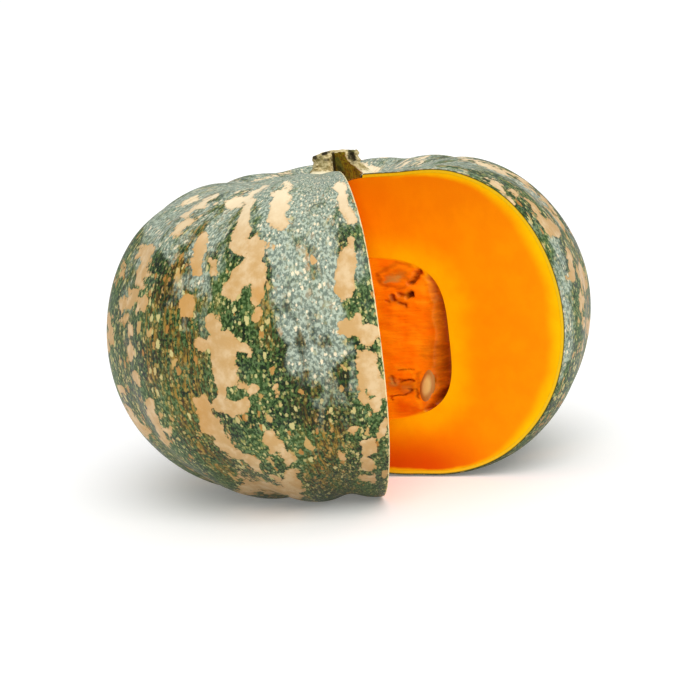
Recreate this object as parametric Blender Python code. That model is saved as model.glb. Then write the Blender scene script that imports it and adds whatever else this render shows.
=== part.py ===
"""A green ribbed pumpkin that stands with one wedge cut out of it, straight down through the stem.

Metres, +Z up. The wedge opens towards -Y and the fruit stands on z = 0, on the flats of its ribs.
Every mesh is drawn about the heart of the fruit, the point on its axis that all reaches are measured
from, and hangs on one empty that stands there.
"""

import math
import random

import bmesh
import bpy
from mathutils import Matrix, Vector

# The heart of the fruit in the frame: the box of the whole is centred on the origin
HEART_X = -0.0063
HEART_Y = -0.0091
HEART_HEIGHT = 0.0450

# How far the skin reaches from the heart, at angles down from the top, in degrees
SKIN_REACH = {
    0: 0.0907,
    10: 0.0965,
    22: 0.1051,
    35: 0.1181,
    50: 0.1239,
    70: 0.1206,
    90: 0.1093,
    110: 0.0918,
    130: 0.0699,
    145: 0.0561,
    160: 0.0465,
    180: 0.0415,
}
# One side of the fruit grew longer than the other, but for its base, and a little lower by the stem
LONG_SIDE_EXTRA = {
    0: 0.0,
    10: -0.0048,
    22: -0.0043,
    35: 0.0024,
    50: 0.0038,
    70: 0.0081,
    90: 0.0072,
    110: 0.0060,
    130: 0.0006,
    180: 0.0,
}
LONG_SIDE_TURN = math.radians(129)

# Grooves between the ribs run from the stem to the blossom end, shallower on the upper half
RIB_COUNT = 12
FIRST_GROOVE_TURN = math.radians(-12.3)
GROOVE_DEPTH = 0.0032
UPPER_GROOVE_SHARE = 0.6
GROOVE_DEEPENS_FROM = 60.0
GROOVE_DEEPENS_TO = 115.0
GROOVE_HALF_WIDTH = math.radians(5.5)
GROOVE_STRAY = math.radians(1.5)
GROOVE_FREE_RADIUS = 0.012
GROOVE_FULL_RADIUS = 0.042
GROOVE_SEED = 4

SKIN_SEGMENTS = 72
SKIN_RINGS = 20
RIND_THICKNESS = 0.0020
CLEARANCE = 0.0003

# The missing wedge, as seen from above
WEDGE_TIP = (-0.0018, -0.0080)
WEDGE_HALF_ANGLE = math.radians(27.9)
KNIFE_REACH = 0.200

# The hollow that holds the seeds is a rounded slot turned about the axis
CAVITY_RADIUS = 0.0555
CAVITY_HALF_HEIGHT = 0.0385
CAVITY_CENTRE_HEIGHT = 0.0205
CAVITY_SQUARENESS = 3.6
CAVITY_SEGMENTS = 44
CAVITY_RINGS = 12

# The pulp fills the hollow, lies a little behind the cut and has shrunk from the wall beside it
PULP_GAP = 0.0005
PULP_SHRINK = 0.0120
PULP_SHRINK_TURN = math.radians(13)
PULP_RECESS = 0.0030
PULP_WAVE = 0.0012
PULP_WAVE_LENGTH = 0.017

SEED_LENGTH = 0.0165
SEED_WIDTH = 0.0078
SEED_THICKNESS = 0.0034
# Seeds on the right-hand face: distance from the wedge's tip, height above the heart, lean from upright
RIGHT_SEEDS = (
    (0.0352, -0.0017, math.radians(17)),
    (0.0225, 0.0470, math.radians(84)),
    (0.0175, -0.0010, math.radians(98)),
)
LEFT_SEED_ROWS = 4
LEFT_SEED_COLUMNS = 2
LEFT_SEED_SPACING = (0.0175, 0.0155)
STRANDS_PER_FACE = 6
STRAND_RADIUS = 0.0007
PULP_SEED = 11

# The stem is a corky stub with five ribs that run out into its foot
STEM_X = 0.0033
STEM_Y = -0.0031
STEM_TOP = 0.1080
STEM_RIBS = 5
FIRST_STEM_RIB_ANGLE = math.radians(-96.7)
STEM_SEGMENTS = 40
# Height of each level as a share of the way from the foot's rim to the top, mean radius, rib height
STEM_LEVELS = (
    (0.00, 0.0165, 0.0036),
    (0.07, 0.0160, 0.0036),
    (0.20, 0.0141, 0.0036),
    (0.38, 0.0120, 0.0032),
    (0.60, 0.0106, 0.0022),
    (0.82, 0.0102, 0.0018),
    (0.95, 0.0104, 0.0018),
    (1.00, 0.0098, 0.0018),
)
STEM_PITH_DEPTH = 0.0015
STEM_PLUG_RADIUS = 0.0086
STEM_LIFT = 0.0010


def clear_scene():
    for thing in list(bpy.data.objects):
        bpy.data.objects.remove(thing, do_unlink=True)


def make_material(name, colour, roughness):
    material = bpy.data.materials.new(name)
    material.use_nodes = True
    shader = material.node_tree.nodes["Principled BSDF"]
    shader.inputs["Base Color"].default_value = (*colour, 1.0)
    shader.inputs["Roughness"].default_value = roughness
    shader.inputs["Metallic"].default_value = 0.0
    return material


def make_heart():
    heart = bpy.data.objects.new("heart", None)
    heart.empty_display_size = 0.01
    heart.location = (HEART_X, HEART_Y, HEART_HEIGHT)
    bpy.context.scene.collection.objects.link(heart)
    return heart


def make_object(name, shape, heart, material=None):
    """An object whose faces point outwards, from a finished bmesh."""
    bmesh.ops.recalc_face_normals(shape, faces=shape.faces)
    mesh = bpy.data.meshes.new(name)
    shape.to_mesh(mesh)
    shape.free()
    mesh.shade_smooth()
    thing = bpy.data.objects.new(name, mesh)
    thing.parent = heart
    bpy.context.scene.collection.objects.link(thing)
    if material is not None:
        mesh.materials.append(material)
        mesh.set_sharp_from_angle(angle=math.radians(40))
    return thing


def as_cutter(thing):
    thing.hide_render = True
    thing.display_type = "WIRE"
    return thing


def cut_away(thing, cutter):
    cut = thing.modifiers.new("cut by " + cutter.name, "BOOLEAN")
    cut.operation = "DIFFERENCE"
    cut.object = cutter


def smooth_through(knots, place):
    """The value at a place on the smooth curve through the knots, level at both ends."""
    places = sorted(knots)
    values = [knots[key] for key in places]
    last = len(places) - 1
    slopes = [0.0] * (last + 1)
    for i in range(1, last):
        slopes[i] = (values[i + 1] - values[i - 1]) / (places[i + 1] - places[i - 1])
    i = 0
    while i < last - 1 and place > places[i + 1]:
        i += 1
    width = places[i + 1] - places[i]
    t = (place - places[i]) / width
    return (
        values[i] * (1 + 2 * t) * (1 - t) ** 2
        + slopes[i] * width * t * (1 - t) ** 2
        + values[i + 1] * t * t * (3 - 2 * t)
        + slopes[i + 1] * width * t * t * (t - 1)
    )


def draw_grooves():
    """The turn and the share of full depth of each groove."""
    draw = random.Random(GROOVE_SEED)
    grooves = []
    for number in range(RIB_COUNT):
        turn = FIRST_GROOVE_TURN + math.tau * number / RIB_COUNT
        grooves.append((turn + draw.uniform(-GROOVE_STRAY, GROOVE_STRAY), draw.uniform(0.75, 1.2)))
    return grooves


GROOVES = draw_grooves()


def angle_between(first, second):
    return abs((first - second + math.pi) % math.tau - math.pi)


def groove_share(turn):
    """How deep the skin lies at this turn: 0 on the ribs, about 1 in the grooves."""
    share = 0.0
    for groove_turn, depth in GROOVES:
        off = angle_between(turn, groove_turn) / GROOVE_HALF_WIDTH
        share += depth * math.exp(-off * off / 2)
    return share


def smooth_step(value, low, high):
    share = min(max((value - low) / (high - low), 0.0), 1.0)
    return share * share * (3 - 2 * share)


def skin_reach(down, turn):
    degrees = math.degrees(down)
    reach = smooth_through(SKIN_REACH, degrees)
    reach += smooth_through(LONG_SIDE_EXTRA, degrees) * math.cos(turn - LONG_SIDE_TURN)
    fade = smooth_step(reach * math.sin(down), GROOVE_FREE_RADIUS, GROOVE_FULL_RADIUS)
    lower_part = smooth_step(degrees, GROOVE_DEEPENS_FROM, GROOVE_DEEPENS_TO)
    depth = GROOVE_DEPTH * (UPPER_GROOVE_SHARE + (1 - UPPER_GROOVE_SHARE) * lower_part)
    return reach - depth * groove_share(turn) * fade


def skin_point(down, turn):
    """A point of the skin. A turn of 0 faces -Y, into the wedge, and grows towards +X."""
    reach = skin_reach(down, turn)
    across = reach * math.sin(down)
    height = max(reach * math.cos(down), -HEART_HEIGHT)
    return Vector((across * math.sin(turn), -across * math.cos(turn), height))


def skin_height(x, y):
    """Height of the top of the fruit over a point near its axis."""
    radius = math.hypot(x, y)
    turn = math.atan2(x, -y)
    down = 0.0
    for _ in range(12):
        down = math.atan2(radius, skin_reach(down, turn) * math.cos(down))
    return skin_reach(down, turn) * math.cos(down)


def turned_shape(rings, segments, point_at):
    """A closed shape from two poles and the rings between them; point_at takes a way down and a turn."""
    shape = bmesh.new()
    top = shape.verts.new(point_at(0.0, 0.0))
    bottom = shape.verts.new(point_at(math.pi, 0.0))
    loops = []
    for ring in range(rings):
        down = math.pi * (ring + 1) / (rings + 1)
        loop = []
        for segment in range(segments):
            loop.append(shape.verts.new(point_at(down, math.tau * segment / segments)))
        loops.append(loop)
    for upper, lower in zip(loops, loops[1:]):
        for i in range(segments):
            j = (i + 1) % segments
            shape.faces.new((upper[i], lower[i], lower[j], upper[j]))
    for i in range(segments):
        j = (i + 1) % segments
        shape.faces.new((top, loops[0][i], loops[0][j]))
        shape.faces.new((bottom, loops[-1][j], loops[-1][i]))
    return shape


def skin_shape(inset):
    """The whole fruit's outside, moved inwards by the inset."""
    shape = turned_shape(SKIN_RINGS, SKIN_SEGMENTS, skin_point)
    bmesh.ops.recalc_face_normals(shape, faces=shape.faces)
    shape.normal_update()
    moves = [(vertex, vertex.co - vertex.normal * inset) for vertex in shape.verts]
    for vertex, place in moves:
        vertex.co = place
    return shape


def face_direction(side):
    """Level direction from the wedge's tip out along a cut face: side is 1 on the right, -1 on the left."""
    return Vector((side * math.sin(WEDGE_HALF_ANGLE), -math.cos(WEDGE_HALF_ANGLE), 0.0))


def face_inward(side):
    """Level direction from a cut face into the fruit."""
    return Vector((side * math.cos(WEDGE_HALF_ANGLE), math.sin(WEDGE_HALF_ANGLE), 0.0))


def stacked_outlines(outlines):
    """A closed shape from outlines laid one above another, each level and with the same count of points."""
    shape = bmesh.new()
    loops = [[shape.verts.new(point) for point in outline] for outline in outlines]
    count = len(loops[0])
    for lower, upper in zip(loops, loops[1:]):
        for i in range(count):
            j = (i + 1) % count
            shape.faces.new((lower[i], lower[j], upper[j], upper[i]))
    shape.faces.new(reversed(loops[0]))
    shape.faces.new(loops[-1])
    return shape


def make_wedge_knife(heart):
    tip = Vector((*WEDGE_TIP, 0.0))
    outline = (tip, tip + face_direction(-1) * KNIFE_REACH, tip + face_direction(1) * KNIFE_REACH)
    outlines = []
    for height in (-KNIFE_REACH, KNIFE_REACH):
        outlines.append([point + Vector((0, 0, height)) for point in outline])
    return as_cutter(make_object("wedge_knife", stacked_outlines(outlines), heart))


def make_pulp_knife(heart):
    """The wedge again, set back from the cut, with the gentle waves of torn pulp on its two faces."""
    steps = 9
    reach = CAVITY_RADIUS * 1.3
    tip = Vector((*WEDGE_TIP, 0.0)) + Vector((0, PULP_RECESS / math.sin(WEDGE_HALF_ANGLE), 0))

    def wavy(side, along, height):
        wave = math.sin(math.tau * along / PULP_WAVE_LENGTH + side)
        wave *= math.cos(math.tau * height / PULP_WAVE_LENGTH * 0.8 + side * along / PULP_WAVE_LENGTH)
        point = tip + face_direction(side) * along + face_inward(side) * wave * PULP_WAVE
        return point + Vector((0, 0, height))

    outlines = []
    for level in range(-steps, steps + 1):
        height = CAVITY_CENTRE_HEIGHT + level * CAVITY_HALF_HEIGHT * 1.2 / steps
        left = [wavy(-1, reach * step / steps, height) for step in range(steps, 0, -1)]
        right = [wavy(1, reach * step / steps, height) for step in range(1, steps + 1)]
        outlines.append(left + [tip + Vector((0, 0, height))] + right)
    return as_cutter(make_object("pulp_knife", stacked_outlines(outlines), heart))


def cavity_point(down, turn, inset):
    """A point of the rounded slot that is turned about the axis."""
    power = 2 / CAVITY_SQUARENESS
    across = (CAVITY_RADIUS - inset) * math.sin(down) ** power
    rise = (CAVITY_HALF_HEIGHT - inset) * math.copysign(abs(math.cos(down)) ** power, math.cos(down))
    return Vector((across * math.sin(turn), -across * math.cos(turn), CAVITY_CENTRE_HEIGHT + rise))


def pulp_point(down, turn):
    """The pulp stays with the wall, but has drawn away from it near the two cut faces."""
    point = cavity_point(down, turn, PULP_GAP)
    off = max(angle_between(turn, 0.0) - WEDGE_HALF_ANGLE, 0.0) / PULP_SHRINK_TURN
    shrink = PULP_SHRINK * math.exp(-off * off) * math.sin(down) ** 2
    return point - Vector((math.sin(turn), -math.cos(turn), 0.0)) * shrink


def seed_shape(place, length_way, width_way):
    """A flat seed, rounder at one end, as a squashed ball."""
    shape = bmesh.new()
    bmesh.ops.create_uvsphere(shape, u_segments=8, v_segments=6, radius=0.5)
    thick_way = length_way.cross(width_way)
    for vertex in shape.verts:
        along, across, thick = vertex.co.z, vertex.co.x, vertex.co.y
        taper = 1.0 - 0.45 * max(along, 0.0)
        vertex.co = (
            place
            + length_way * along * SEED_LENGTH
            + width_way * across * SEED_WIDTH * taper
            + thick_way * thick * SEED_THICKNESS * taper
        )
    return shape


def seed_on_face(side, along, height, lean, sink):
    """A seed laid against a cut face of the pulp, sunk behind the knife's plane."""
    place = Vector((*WEDGE_TIP, height)) + face_direction(side) * along + face_inward(side) * sink
    upright = Matrix.Rotation(lean, 3, face_inward(side))
    length_way = upright @ Vector((0, 0, 1))
    width_way = upright @ face_direction(side)
    return seed_shape(place, length_way, width_way)


def strand_on_face(side, along, height, span, rise):
    """A pulp fibre that bows out of the face and has both ends sunk in the pulp."""
    sides, steps = 4, 5
    start = Vector((*WEDGE_TIP, height)) + face_direction(side) * along
    shape = bmesh.new()
    loops = []
    for step in range(steps + 1):
        t = step / steps
        centre = start + face_direction(side) * span * t + Vector((0, 0, rise * t))
        depth = PULP_RECESS * (1.9 - 1.7 * math.sin(math.pi * t))
        centre += face_inward(side) * depth
        loop = []
        for corner in range(sides):
            angle = math.tau * corner / sides
            spoke = face_inward(side) * math.cos(angle) + Vector((0, 0, math.sin(angle)))
            loop.append(shape.verts.new(centre + spoke * STRAND_RADIUS))
        loops.append(loop)
    for first, second in zip(loops, loops[1:]):
        for i in range(sides):
            j = (i + 1) % sides
            shape.faces.new((first[i], first[j], second[j], second[i]))
    shape.faces.new(reversed(loops[0]))
    shape.faces.new(loops[-1])
    return shape


def left_seed_places():
    """Seeds in loose rows over the left-hand face, each lying nearly level and a little out of its row."""
    draw = random.Random(PULP_SEED)
    places = []
    for row in range(LEFT_SEED_ROWS):
        for column in range(LEFT_SEED_COLUMNS):
            along = 0.012 + LEFT_SEED_SPACING[0] * (column + 0.25 * (row % 2)) + draw.uniform(-0.001, 0.001)
            height = -0.003 + LEFT_SEED_SPACING[1] * row + draw.uniform(-0.0015, 0.0015)
            places.append((along, height, math.pi / 2 + draw.uniform(-0.35, 0.35)))
    return places


def pulp_repeats():
    """The seeds and the fibres of both faces, as closed shapes that are sunk in the pulp."""
    shapes = []
    for along, height, lean in RIGHT_SEEDS:
        shapes.append(seed_on_face(1, along, height, lean, PULP_RECESS))
    for along, height, lean in left_seed_places():
        shapes.append(seed_on_face(-1, along, height, lean, PULP_RECESS))
    draw = random.Random(PULP_SEED + 1)
    for side in (-1, 1):
        for number in range(STRANDS_PER_FACE):
            along = draw.uniform(0.004, 0.022)
            height = -0.010 + 0.058 * (number + 0.5) / STRANDS_PER_FACE
            span = draw.uniform(0.012, 0.020)
            rise = draw.uniform(-0.006, 0.006)
            shapes.append(strand_on_face(side, along, height, span, rise))
    return shapes


def make_pulp(heart, material):
    pulp = make_object(
        "seed_pulp", turned_shape(CAVITY_RINGS, CAVITY_SEGMENTS, pulp_point), heart, material
    )
    cut_away(pulp, make_pulp_knife(heart))
    repeats = bpy.data.collections.new("seeds and fibres")
    bpy.context.scene.collection.children.link(repeats)
    for number, shape in enumerate(pulp_repeats()):
        thing = make_object(f"repeat_{number}", shape, heart)
        bpy.context.scene.collection.objects.unlink(thing)
        repeats.objects.link(thing)
    join = pulp.modifiers.new("seeds and fibres", "BOOLEAN")
    join.operation = "UNION"
    join.operand_type = "COLLECTION"
    join.collection = repeats
    bpy.context.view_layer.update()
    evaluated = pulp.evaluated_get(bpy.context.evaluated_depsgraph_get())
    joined = bpy.data.meshes.new_from_object(evaluated)
    pulp.modifiers.clear()
    pulp.data = joined
    for thing in list(repeats.objects):
        bpy.data.objects.remove(thing, do_unlink=True)
    bpy.data.collections.remove(repeats)
    return pulp


def make_rind(heart, material, knife):
    rind = make_object("rind", skin_shape(0.0), heart, material)
    shell = rind.modifiers.new("thickness", "SOLIDIFY")
    shell.thickness = RIND_THICKNESS
    shell.offset = -1.0
    hole = bmesh.new()
    bmesh.ops.create_cone(
        hole,
        segments=STEM_SEGMENTS,
        cap_ends=True,
        radius1=STEM_PLUG_RADIUS + CLEARANCE,
        radius2=STEM_PLUG_RADIUS + CLEARANCE,
        depth=0.03,
        matrix=Matrix.Translation((STEM_X, STEM_Y, SKIN_REACH[0])),
    )
    cut_away(rind, as_cutter(make_object("stem_hole", hole, heart)))
    cut_away(rind, knife)
    return rind


def make_flesh(heart, material, knife):
    flesh = make_object("flesh", skin_shape(RIND_THICKNESS + CLEARANCE), heart, material)
    hollow = turned_shape(
        CAVITY_RINGS, CAVITY_SEGMENTS, lambda down, turn: cavity_point(down, turn, 0.0)
    )
    cut_away(flesh, as_cutter(make_object("seed_cavity", hollow, heart)))
    cut_away(flesh, knife)
    return flesh


def stem_ring(radius, rib_height, height_at):
    """A ring of the stem with its ribs; height_at gives the height over each point."""
    ring = []
    for segment in range(STEM_SEGMENTS):
        angle = math.tau * segment / STEM_SEGMENTS
        reach = radius + rib_height * math.cos(STEM_RIBS * (angle - FIRST_STEM_RIB_ANGLE))
        x = STEM_X + reach * math.cos(angle)
        y = STEM_Y + reach * math.sin(angle)
        ring.append(Vector((x, y, height_at(x, y))))
    return ring


def make_stem(heart, material, knife):
    def on_rind(x, y):
        return skin_height(x, y) + STEM_LIFT

    def on_flesh(x, y):
        return skin_height(x, y) - RIND_THICKNESS + STEM_LIFT

    shape = bmesh.new()
    rings = [stem_ring(STEM_PLUG_RADIUS * share, 0.0, on_flesh) for share in (0.5, 1.0)]
    rings.append(stem_ring(STEM_PLUG_RADIUS, 0.0, on_rind))
    rings.append(stem_ring((STEM_PLUG_RADIUS + STEM_LEVELS[0][1]) / 2, 0.0, on_rind))
    for share, radius, rib_height in STEM_LEVELS:
        def between(x, y, share=share):
            return on_rind(x, y) * (1 - share) + STEM_TOP * share

        rings.append(stem_ring(radius, rib_height, between))
    rings.append(stem_ring(STEM_LEVELS[-1][1] * 0.5, 0.0, lambda x, y: STEM_TOP - STEM_PITH_DEPTH))
    loops = [[shape.verts.new(point) for point in ring] for ring in rings]
    for lower, upper in zip(loops, loops[1:]):
        for i in range(STEM_SEGMENTS):
            j = (i + 1) % STEM_SEGMENTS
            shape.faces.new((lower[i], lower[j], upper[j], upper[i]))
    base = shape.verts.new((STEM_X, STEM_Y, on_flesh(STEM_X, STEM_Y)))
    pith = shape.verts.new((STEM_X, STEM_Y, STEM_TOP - STEM_PITH_DEPTH))
    for i in range(STEM_SEGMENTS):
        j = (i + 1) % STEM_SEGMENTS
        shape.faces.new((base, loops[0][j], loops[0][i]))
        shape.faces.new((pith, loops[-1][i], loops[-1][j]))
    stem = make_object("stem", shape, heart, material)
    cut_away(stem, knife)
    return stem


def main():
    clear_scene()
    rind_green = make_material("rind_green", (0.06, 0.13, 0.06), 0.45)
    flesh_orange = make_material("flesh_orange", (1.0, 0.27, 0.0), 0.40)
    stem_cork = make_material("stem_cork", (0.46, 0.37, 0.19), 0.85)
    pulp_orange = make_material("pulp_orange", (0.85, 0.18, 0.01), 0.35)
    heart = make_heart()
    knife = make_wedge_knife(heart)
    make_rind(heart, rind_green, knife)
    make_flesh(heart, flesh_orange, knife)
    make_stem(heart, stem_cork, knife)
    make_pulp(heart, pulp_orange)


main()
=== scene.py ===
# A green ribbed pumpkin that stands with one wedge cut out of it, on a plain pale floor.
# Metres, +Z up, in the frame of the CAD. The wedge opens towards -Y.
import math
import random

import bmesh
import bpy
import numpy as np
from mathutils import Matrix, Vector


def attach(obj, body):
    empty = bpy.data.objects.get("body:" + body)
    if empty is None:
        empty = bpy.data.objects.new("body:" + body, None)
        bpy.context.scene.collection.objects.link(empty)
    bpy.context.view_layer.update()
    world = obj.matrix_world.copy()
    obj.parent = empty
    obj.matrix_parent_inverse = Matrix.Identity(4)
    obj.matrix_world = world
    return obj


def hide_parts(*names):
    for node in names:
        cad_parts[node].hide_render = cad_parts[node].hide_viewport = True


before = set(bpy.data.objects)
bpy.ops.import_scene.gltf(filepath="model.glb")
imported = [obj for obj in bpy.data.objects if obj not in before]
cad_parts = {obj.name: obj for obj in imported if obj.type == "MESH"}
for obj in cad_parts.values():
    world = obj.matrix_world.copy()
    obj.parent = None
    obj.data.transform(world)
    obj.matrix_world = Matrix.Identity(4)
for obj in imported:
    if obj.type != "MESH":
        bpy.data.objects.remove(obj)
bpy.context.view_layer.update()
print("frame loaded:", sorted(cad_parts))

photoSize = 700
pixelsPerMillimetre = 2.1

# The heart of the fruit, the point on its axis that all reaches are measured from
heart = np.array((-0.0063, -0.0091, 0.0450))

fruit = {
    # reach of the skin from the heart, at angles down from the top in degrees
    "reach": {
        0: 0.0907, 10: 0.0965, 22: 0.1051, 35: 0.1181, 50: 0.1239, 70: 0.1206,
        90: 0.1093, 110: 0.0918, 130: 0.0699, 145: 0.0561, 160: 0.0465, 180: 0.0415,
    },
    # one side grew longer than the other
    "longSideExtra": {
        0: 0.0, 10: -0.0048, 22: -0.0043, 35: 0.0024, 50: 0.0038, 70: 0.0081,
        90: 0.0072, 110: 0.0060, 130: 0.0006, 180: 0.0,
    },
    "longSideTurn": math.radians(129),
    "ribs": 12,
    "firstGroove": math.radians(-12.3),
    "grooveDepth": 0.0032,
    "upperGrooveShare": 0.6,
    "grooveDeepens": (60.0, 115.0),
    "grooveHalfWidth": math.radians(5.5),
    "grooveStray": math.radians(1.5),
    "grooveFreeRadius": 0.012,
    "grooveFullRadius": 0.042,
    "grooveSeed": 4,
    "inset": 0.00038,  # keeps the fine skin inside the coarser solid's box
}

wedge = {
    "tip": np.array((-0.0018, -0.0080)),
    "halfAngle": math.radians(27.9),
}

cavity = {
    "radius": 0.0555,
    "halfHeight": 0.0385,
    "centre": 0.0205,
    "squareness": 3.6,
}

camera = {
    "from": (-0.4971, -0.7286, 0.2056),
    "turn": math.radians(34.3),
    "pitch": math.radians(10.45),
    "roll": math.radians(6.75),
    "focalPixels": 1880,
    "shift": (-0.0021, 0.0446),
}


def smoothThrough(knots, place):
    places = np.array(sorted(knots), float)
    values = np.array([knots[key] for key in sorted(knots)])
    slopes = np.zeros_like(values)
    slopes[1:-1] = (values[2:] - values[:-2]) / (places[2:] - places[:-2])
    i = np.clip(np.searchsorted(places, place, side="left") - 1, 0, len(places) - 2)
    width = places[i + 1] - places[i]
    t = (place - places[i]) / width
    return (
        values[i] * (1 + 2 * t) * (1 - t) ** 2
        + slopes[i] * width * t * (1 - t) ** 2
        + values[i + 1] * t * t * (3 - 2 * t)
        + slopes[i + 1] * width * t * t * (t - 1)
    )


def smoothStep(value, low=0.0, high=1.0):
    t = np.clip((value - low) / (high - low), 0.0, 1.0)
    return t * t * (3 - 2 * t)


def drawGrooves():
    draw = random.Random(fruit["grooveSeed"])
    grooves = []
    for number in range(fruit["ribs"]):
        turn = fruit["firstGroove"] + math.tau * number / fruit["ribs"]
        stray = draw.uniform(-fruit["grooveStray"], fruit["grooveStray"])
        grooves.append((turn + stray, draw.uniform(0.75, 1.2)))
    return grooves


grooves = drawGrooves()


def angleBetween(first, second):
    return np.abs((first - second + np.pi) % (2 * np.pi) - np.pi)


def grooveShare(turn):
    share = np.zeros_like(turn)
    for grooveTurn, depth in grooves:
        off = angleBetween(turn, grooveTurn) / fruit["grooveHalfWidth"]
        share += depth * np.exp(-off * off / 2)
    return share


def skinReach(down, turn):
    degrees = np.degrees(down)
    reach = smoothThrough(fruit["reach"], degrees)
    reach = reach + smoothThrough(fruit["longSideExtra"], degrees) * np.cos(turn - fruit["longSideTurn"])
    radius = reach * np.sin(down)
    fade = smoothStep(radius, fruit["grooveFreeRadius"], fruit["grooveFullRadius"])
    upper = fruit["upperGrooveShare"]
    depth = fruit["grooveDepth"] * (upper + (1 - upper) * smoothStep(degrees, *fruit["grooveDeepens"]))
    return reach - depth * grooveShare(turn) * fade


# How far down from the top and how far round from -Y points about the heart lie.
def wayAndTurn(points):
    length = np.linalg.norm(points, axis=1)
    down = np.arccos(np.clip(points[:, 2] / np.maximum(length, 1e-9), -1, 1))
    return length, down, np.arctan2(points[:, 0], -points[:, 1])


# How much longer a way from the heart is than the way straight through the skin.
def skinSlant(down, turn, reach):
    step = 0.01
    lower = np.minimum(down + step, np.pi)
    upper = np.maximum(down - step, 0.0)
    slope = (skinReach(lower, turn) - skinReach(upper, turn)) / (lower - upper) / reach
    return np.sqrt(1 + slope * slope)


def insideSkin(points, inset):
    length, down, turn = wayAndTurn(points)
    reach = skinReach(down, turn)
    reach = reach - (inset + fruit["inset"]) * skinSlant(down, turn, reach)
    return (length < reach) & (points[:, 2] > -heart[2] + inset)


def insideCavity(points, inset):
    across = np.hypot(points[:, 0], points[:, 1]) / (cavity["radius"] - inset)
    rise = np.abs(points[:, 2] - cavity["centre"]) / (cavity["halfHeight"] - inset)
    return across ** cavity["squareness"] + rise ** cavity["squareness"] < 1


# Where each straight way from its start leaves the shape, by halving.
def reachWhile(inside, start, ways, furthest=0.2):
    low = np.zeros(len(ways))
    high = np.full(len(ways), furthest)
    for _ in range(26):
        middle = (low + high) / 2
        within = inside(start + ways * middle[:, None])
        low = np.where(within, middle, low)
        high = np.where(within, high, middle)
    return start + ways * low[:, None]


# Level way out along a cut face: side is 1 on the right, -1 on the left.
def faceWay(side):
    return np.array((side * math.sin(wedge["halfAngle"]), -math.cos(wedge["halfAngle"]), 0.0))


def faceInward(side):
    return np.array((side * math.cos(wedge["halfAngle"]), math.sin(wedge["halfAngle"]), 0.0))


def waysFrom(down, turn):
    return np.stack([np.sin(down) * np.sin(turn), -np.sin(down) * np.cos(turn), np.cos(down)], 1)


# The turn about the wedge's tip: 0 is the right-hand face and 1 the left-hand one.
def sectorTurn(share):
    return wedge["halfAngle"] + share * (2 * np.pi - 2 * wedge["halfAngle"])


middle = np.array((*wedge["tip"], cavity["centre"]))


# A closed mesh from the outside of a block of rows, columns and layers that placeAt bends.
def latticeSolid(name, rows, columns, layers, placeAt):
    grid = -np.ones((rows + 1, columns + 1, layers + 1), int)
    outside = np.zeros(grid.shape, bool)
    outside[[0, -1]] = True
    outside[:, [0, -1]] = True
    outside[:, :, [0, -1]] = True
    grid[outside] = np.arange(outside.sum())
    i, j, k = np.nonzero(outside)
    points = placeAt(i / rows, j / columns, k / layers)
    sheets = (grid[0], grid[-1], grid[:, 0], grid[:, -1], grid[:, :, 0], grid[:, :, -1])
    flips = (False, True, True, False, False, True)
    faces = []
    for sheet, flip in zip(sheets, flips):
        corners = [sheet[:-1, :-1], sheet[1:, :-1], sheet[1:, 1:], sheet[:-1, 1:]]
        if flip:
            corners.reverse()
        faces.append(np.stack(corners, -1).reshape(-1, 4))
    mesh = bpy.data.meshes.new(name)
    mesh.from_pydata((points + heart).tolist(), [], np.concatenate(faces).tolist())
    return closedMesh(mesh)


def closedMesh(mesh):
    shape = bmesh.new()
    shape.from_mesh(mesh)
    bmesh.ops.remove_doubles(shape, verts=shape.verts, dist=2e-6)
    bmesh.ops.dissolve_degenerate(shape, edges=shape.edges, dist=1e-6)
    bmesh.ops.recalc_face_normals(shape, faces=shape.faces)
    shape.to_mesh(mesh)
    shape.free()
    mesh.validate()
    return mesh


def pointsOf(mesh):
    flat = np.zeros(len(mesh.vertices) * 3, np.float32)
    mesh.vertices.foreach_get("co", flat)
    return flat.reshape(-1, 3).astype(float)


def setAttribute(mesh, name, values):
    kind = "FLOAT_VECTOR" if values.ndim == 2 else "FLOAT"
    layer = mesh.attributes.new(name, kind, "POINT")
    field = "vector" if values.ndim == 2 else "value"
    layer.data.foreach_set(field, np.ascontiguousarray(values, np.float32).ravel())


def makePiece(name, mesh, materials, replaces=(), sharp=35):
    piece = bpy.data.objects.new(name, mesh)
    bpy.context.scene.collection.objects.link(piece)
    for material in materials:
        mesh.materials.append(material)
    mesh.shade_smooth()
    mesh.set_sharp_from_angle(angle=math.radians(sharp))
    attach(piece, "root")
    for node in replaces:
        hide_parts(node)
    triangles = sum(len(face.vertices) - 2 for face in mesh.polygons)
    print(name, len(mesh.vertices), "points,", triangles, "triangles")
    return piece


def cameraWays():
    turn, pitch, roll = camera["turn"], camera["pitch"], camera["roll"]
    level = math.cos(pitch)
    forward = Vector((level * math.sin(turn), level * math.cos(turn), -math.sin(pitch)))
    right = Vector((math.cos(turn), -math.sin(turn), 0.0))
    up = right.cross(forward)
    return (
        right * math.cos(roll) - up * math.sin(roll),
        right * math.sin(roll) + up * math.cos(roll),
        forward,
    )


def makeCamera():
    across, upward, forward = cameraWays()
    data = bpy.data.cameras.new("camera")
    data.sensor_width = 36
    data.lens = camera["focalPixels"] / photoSize * data.sensor_width
    data.shift_x, data.shift_y = camera["shift"]
    data.clip_start = 0.05
    data.clip_end = 60
    thing = bpy.data.objects.new("camera", data)
    turning = Matrix((across, upward, -forward)).transposed()
    thing.matrix_world = Matrix.Translation(camera["from"]) @ turning.to_4x4()
    bpy.context.scene.collection.objects.link(thing)
    bpy.context.scene.camera = thing


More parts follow.
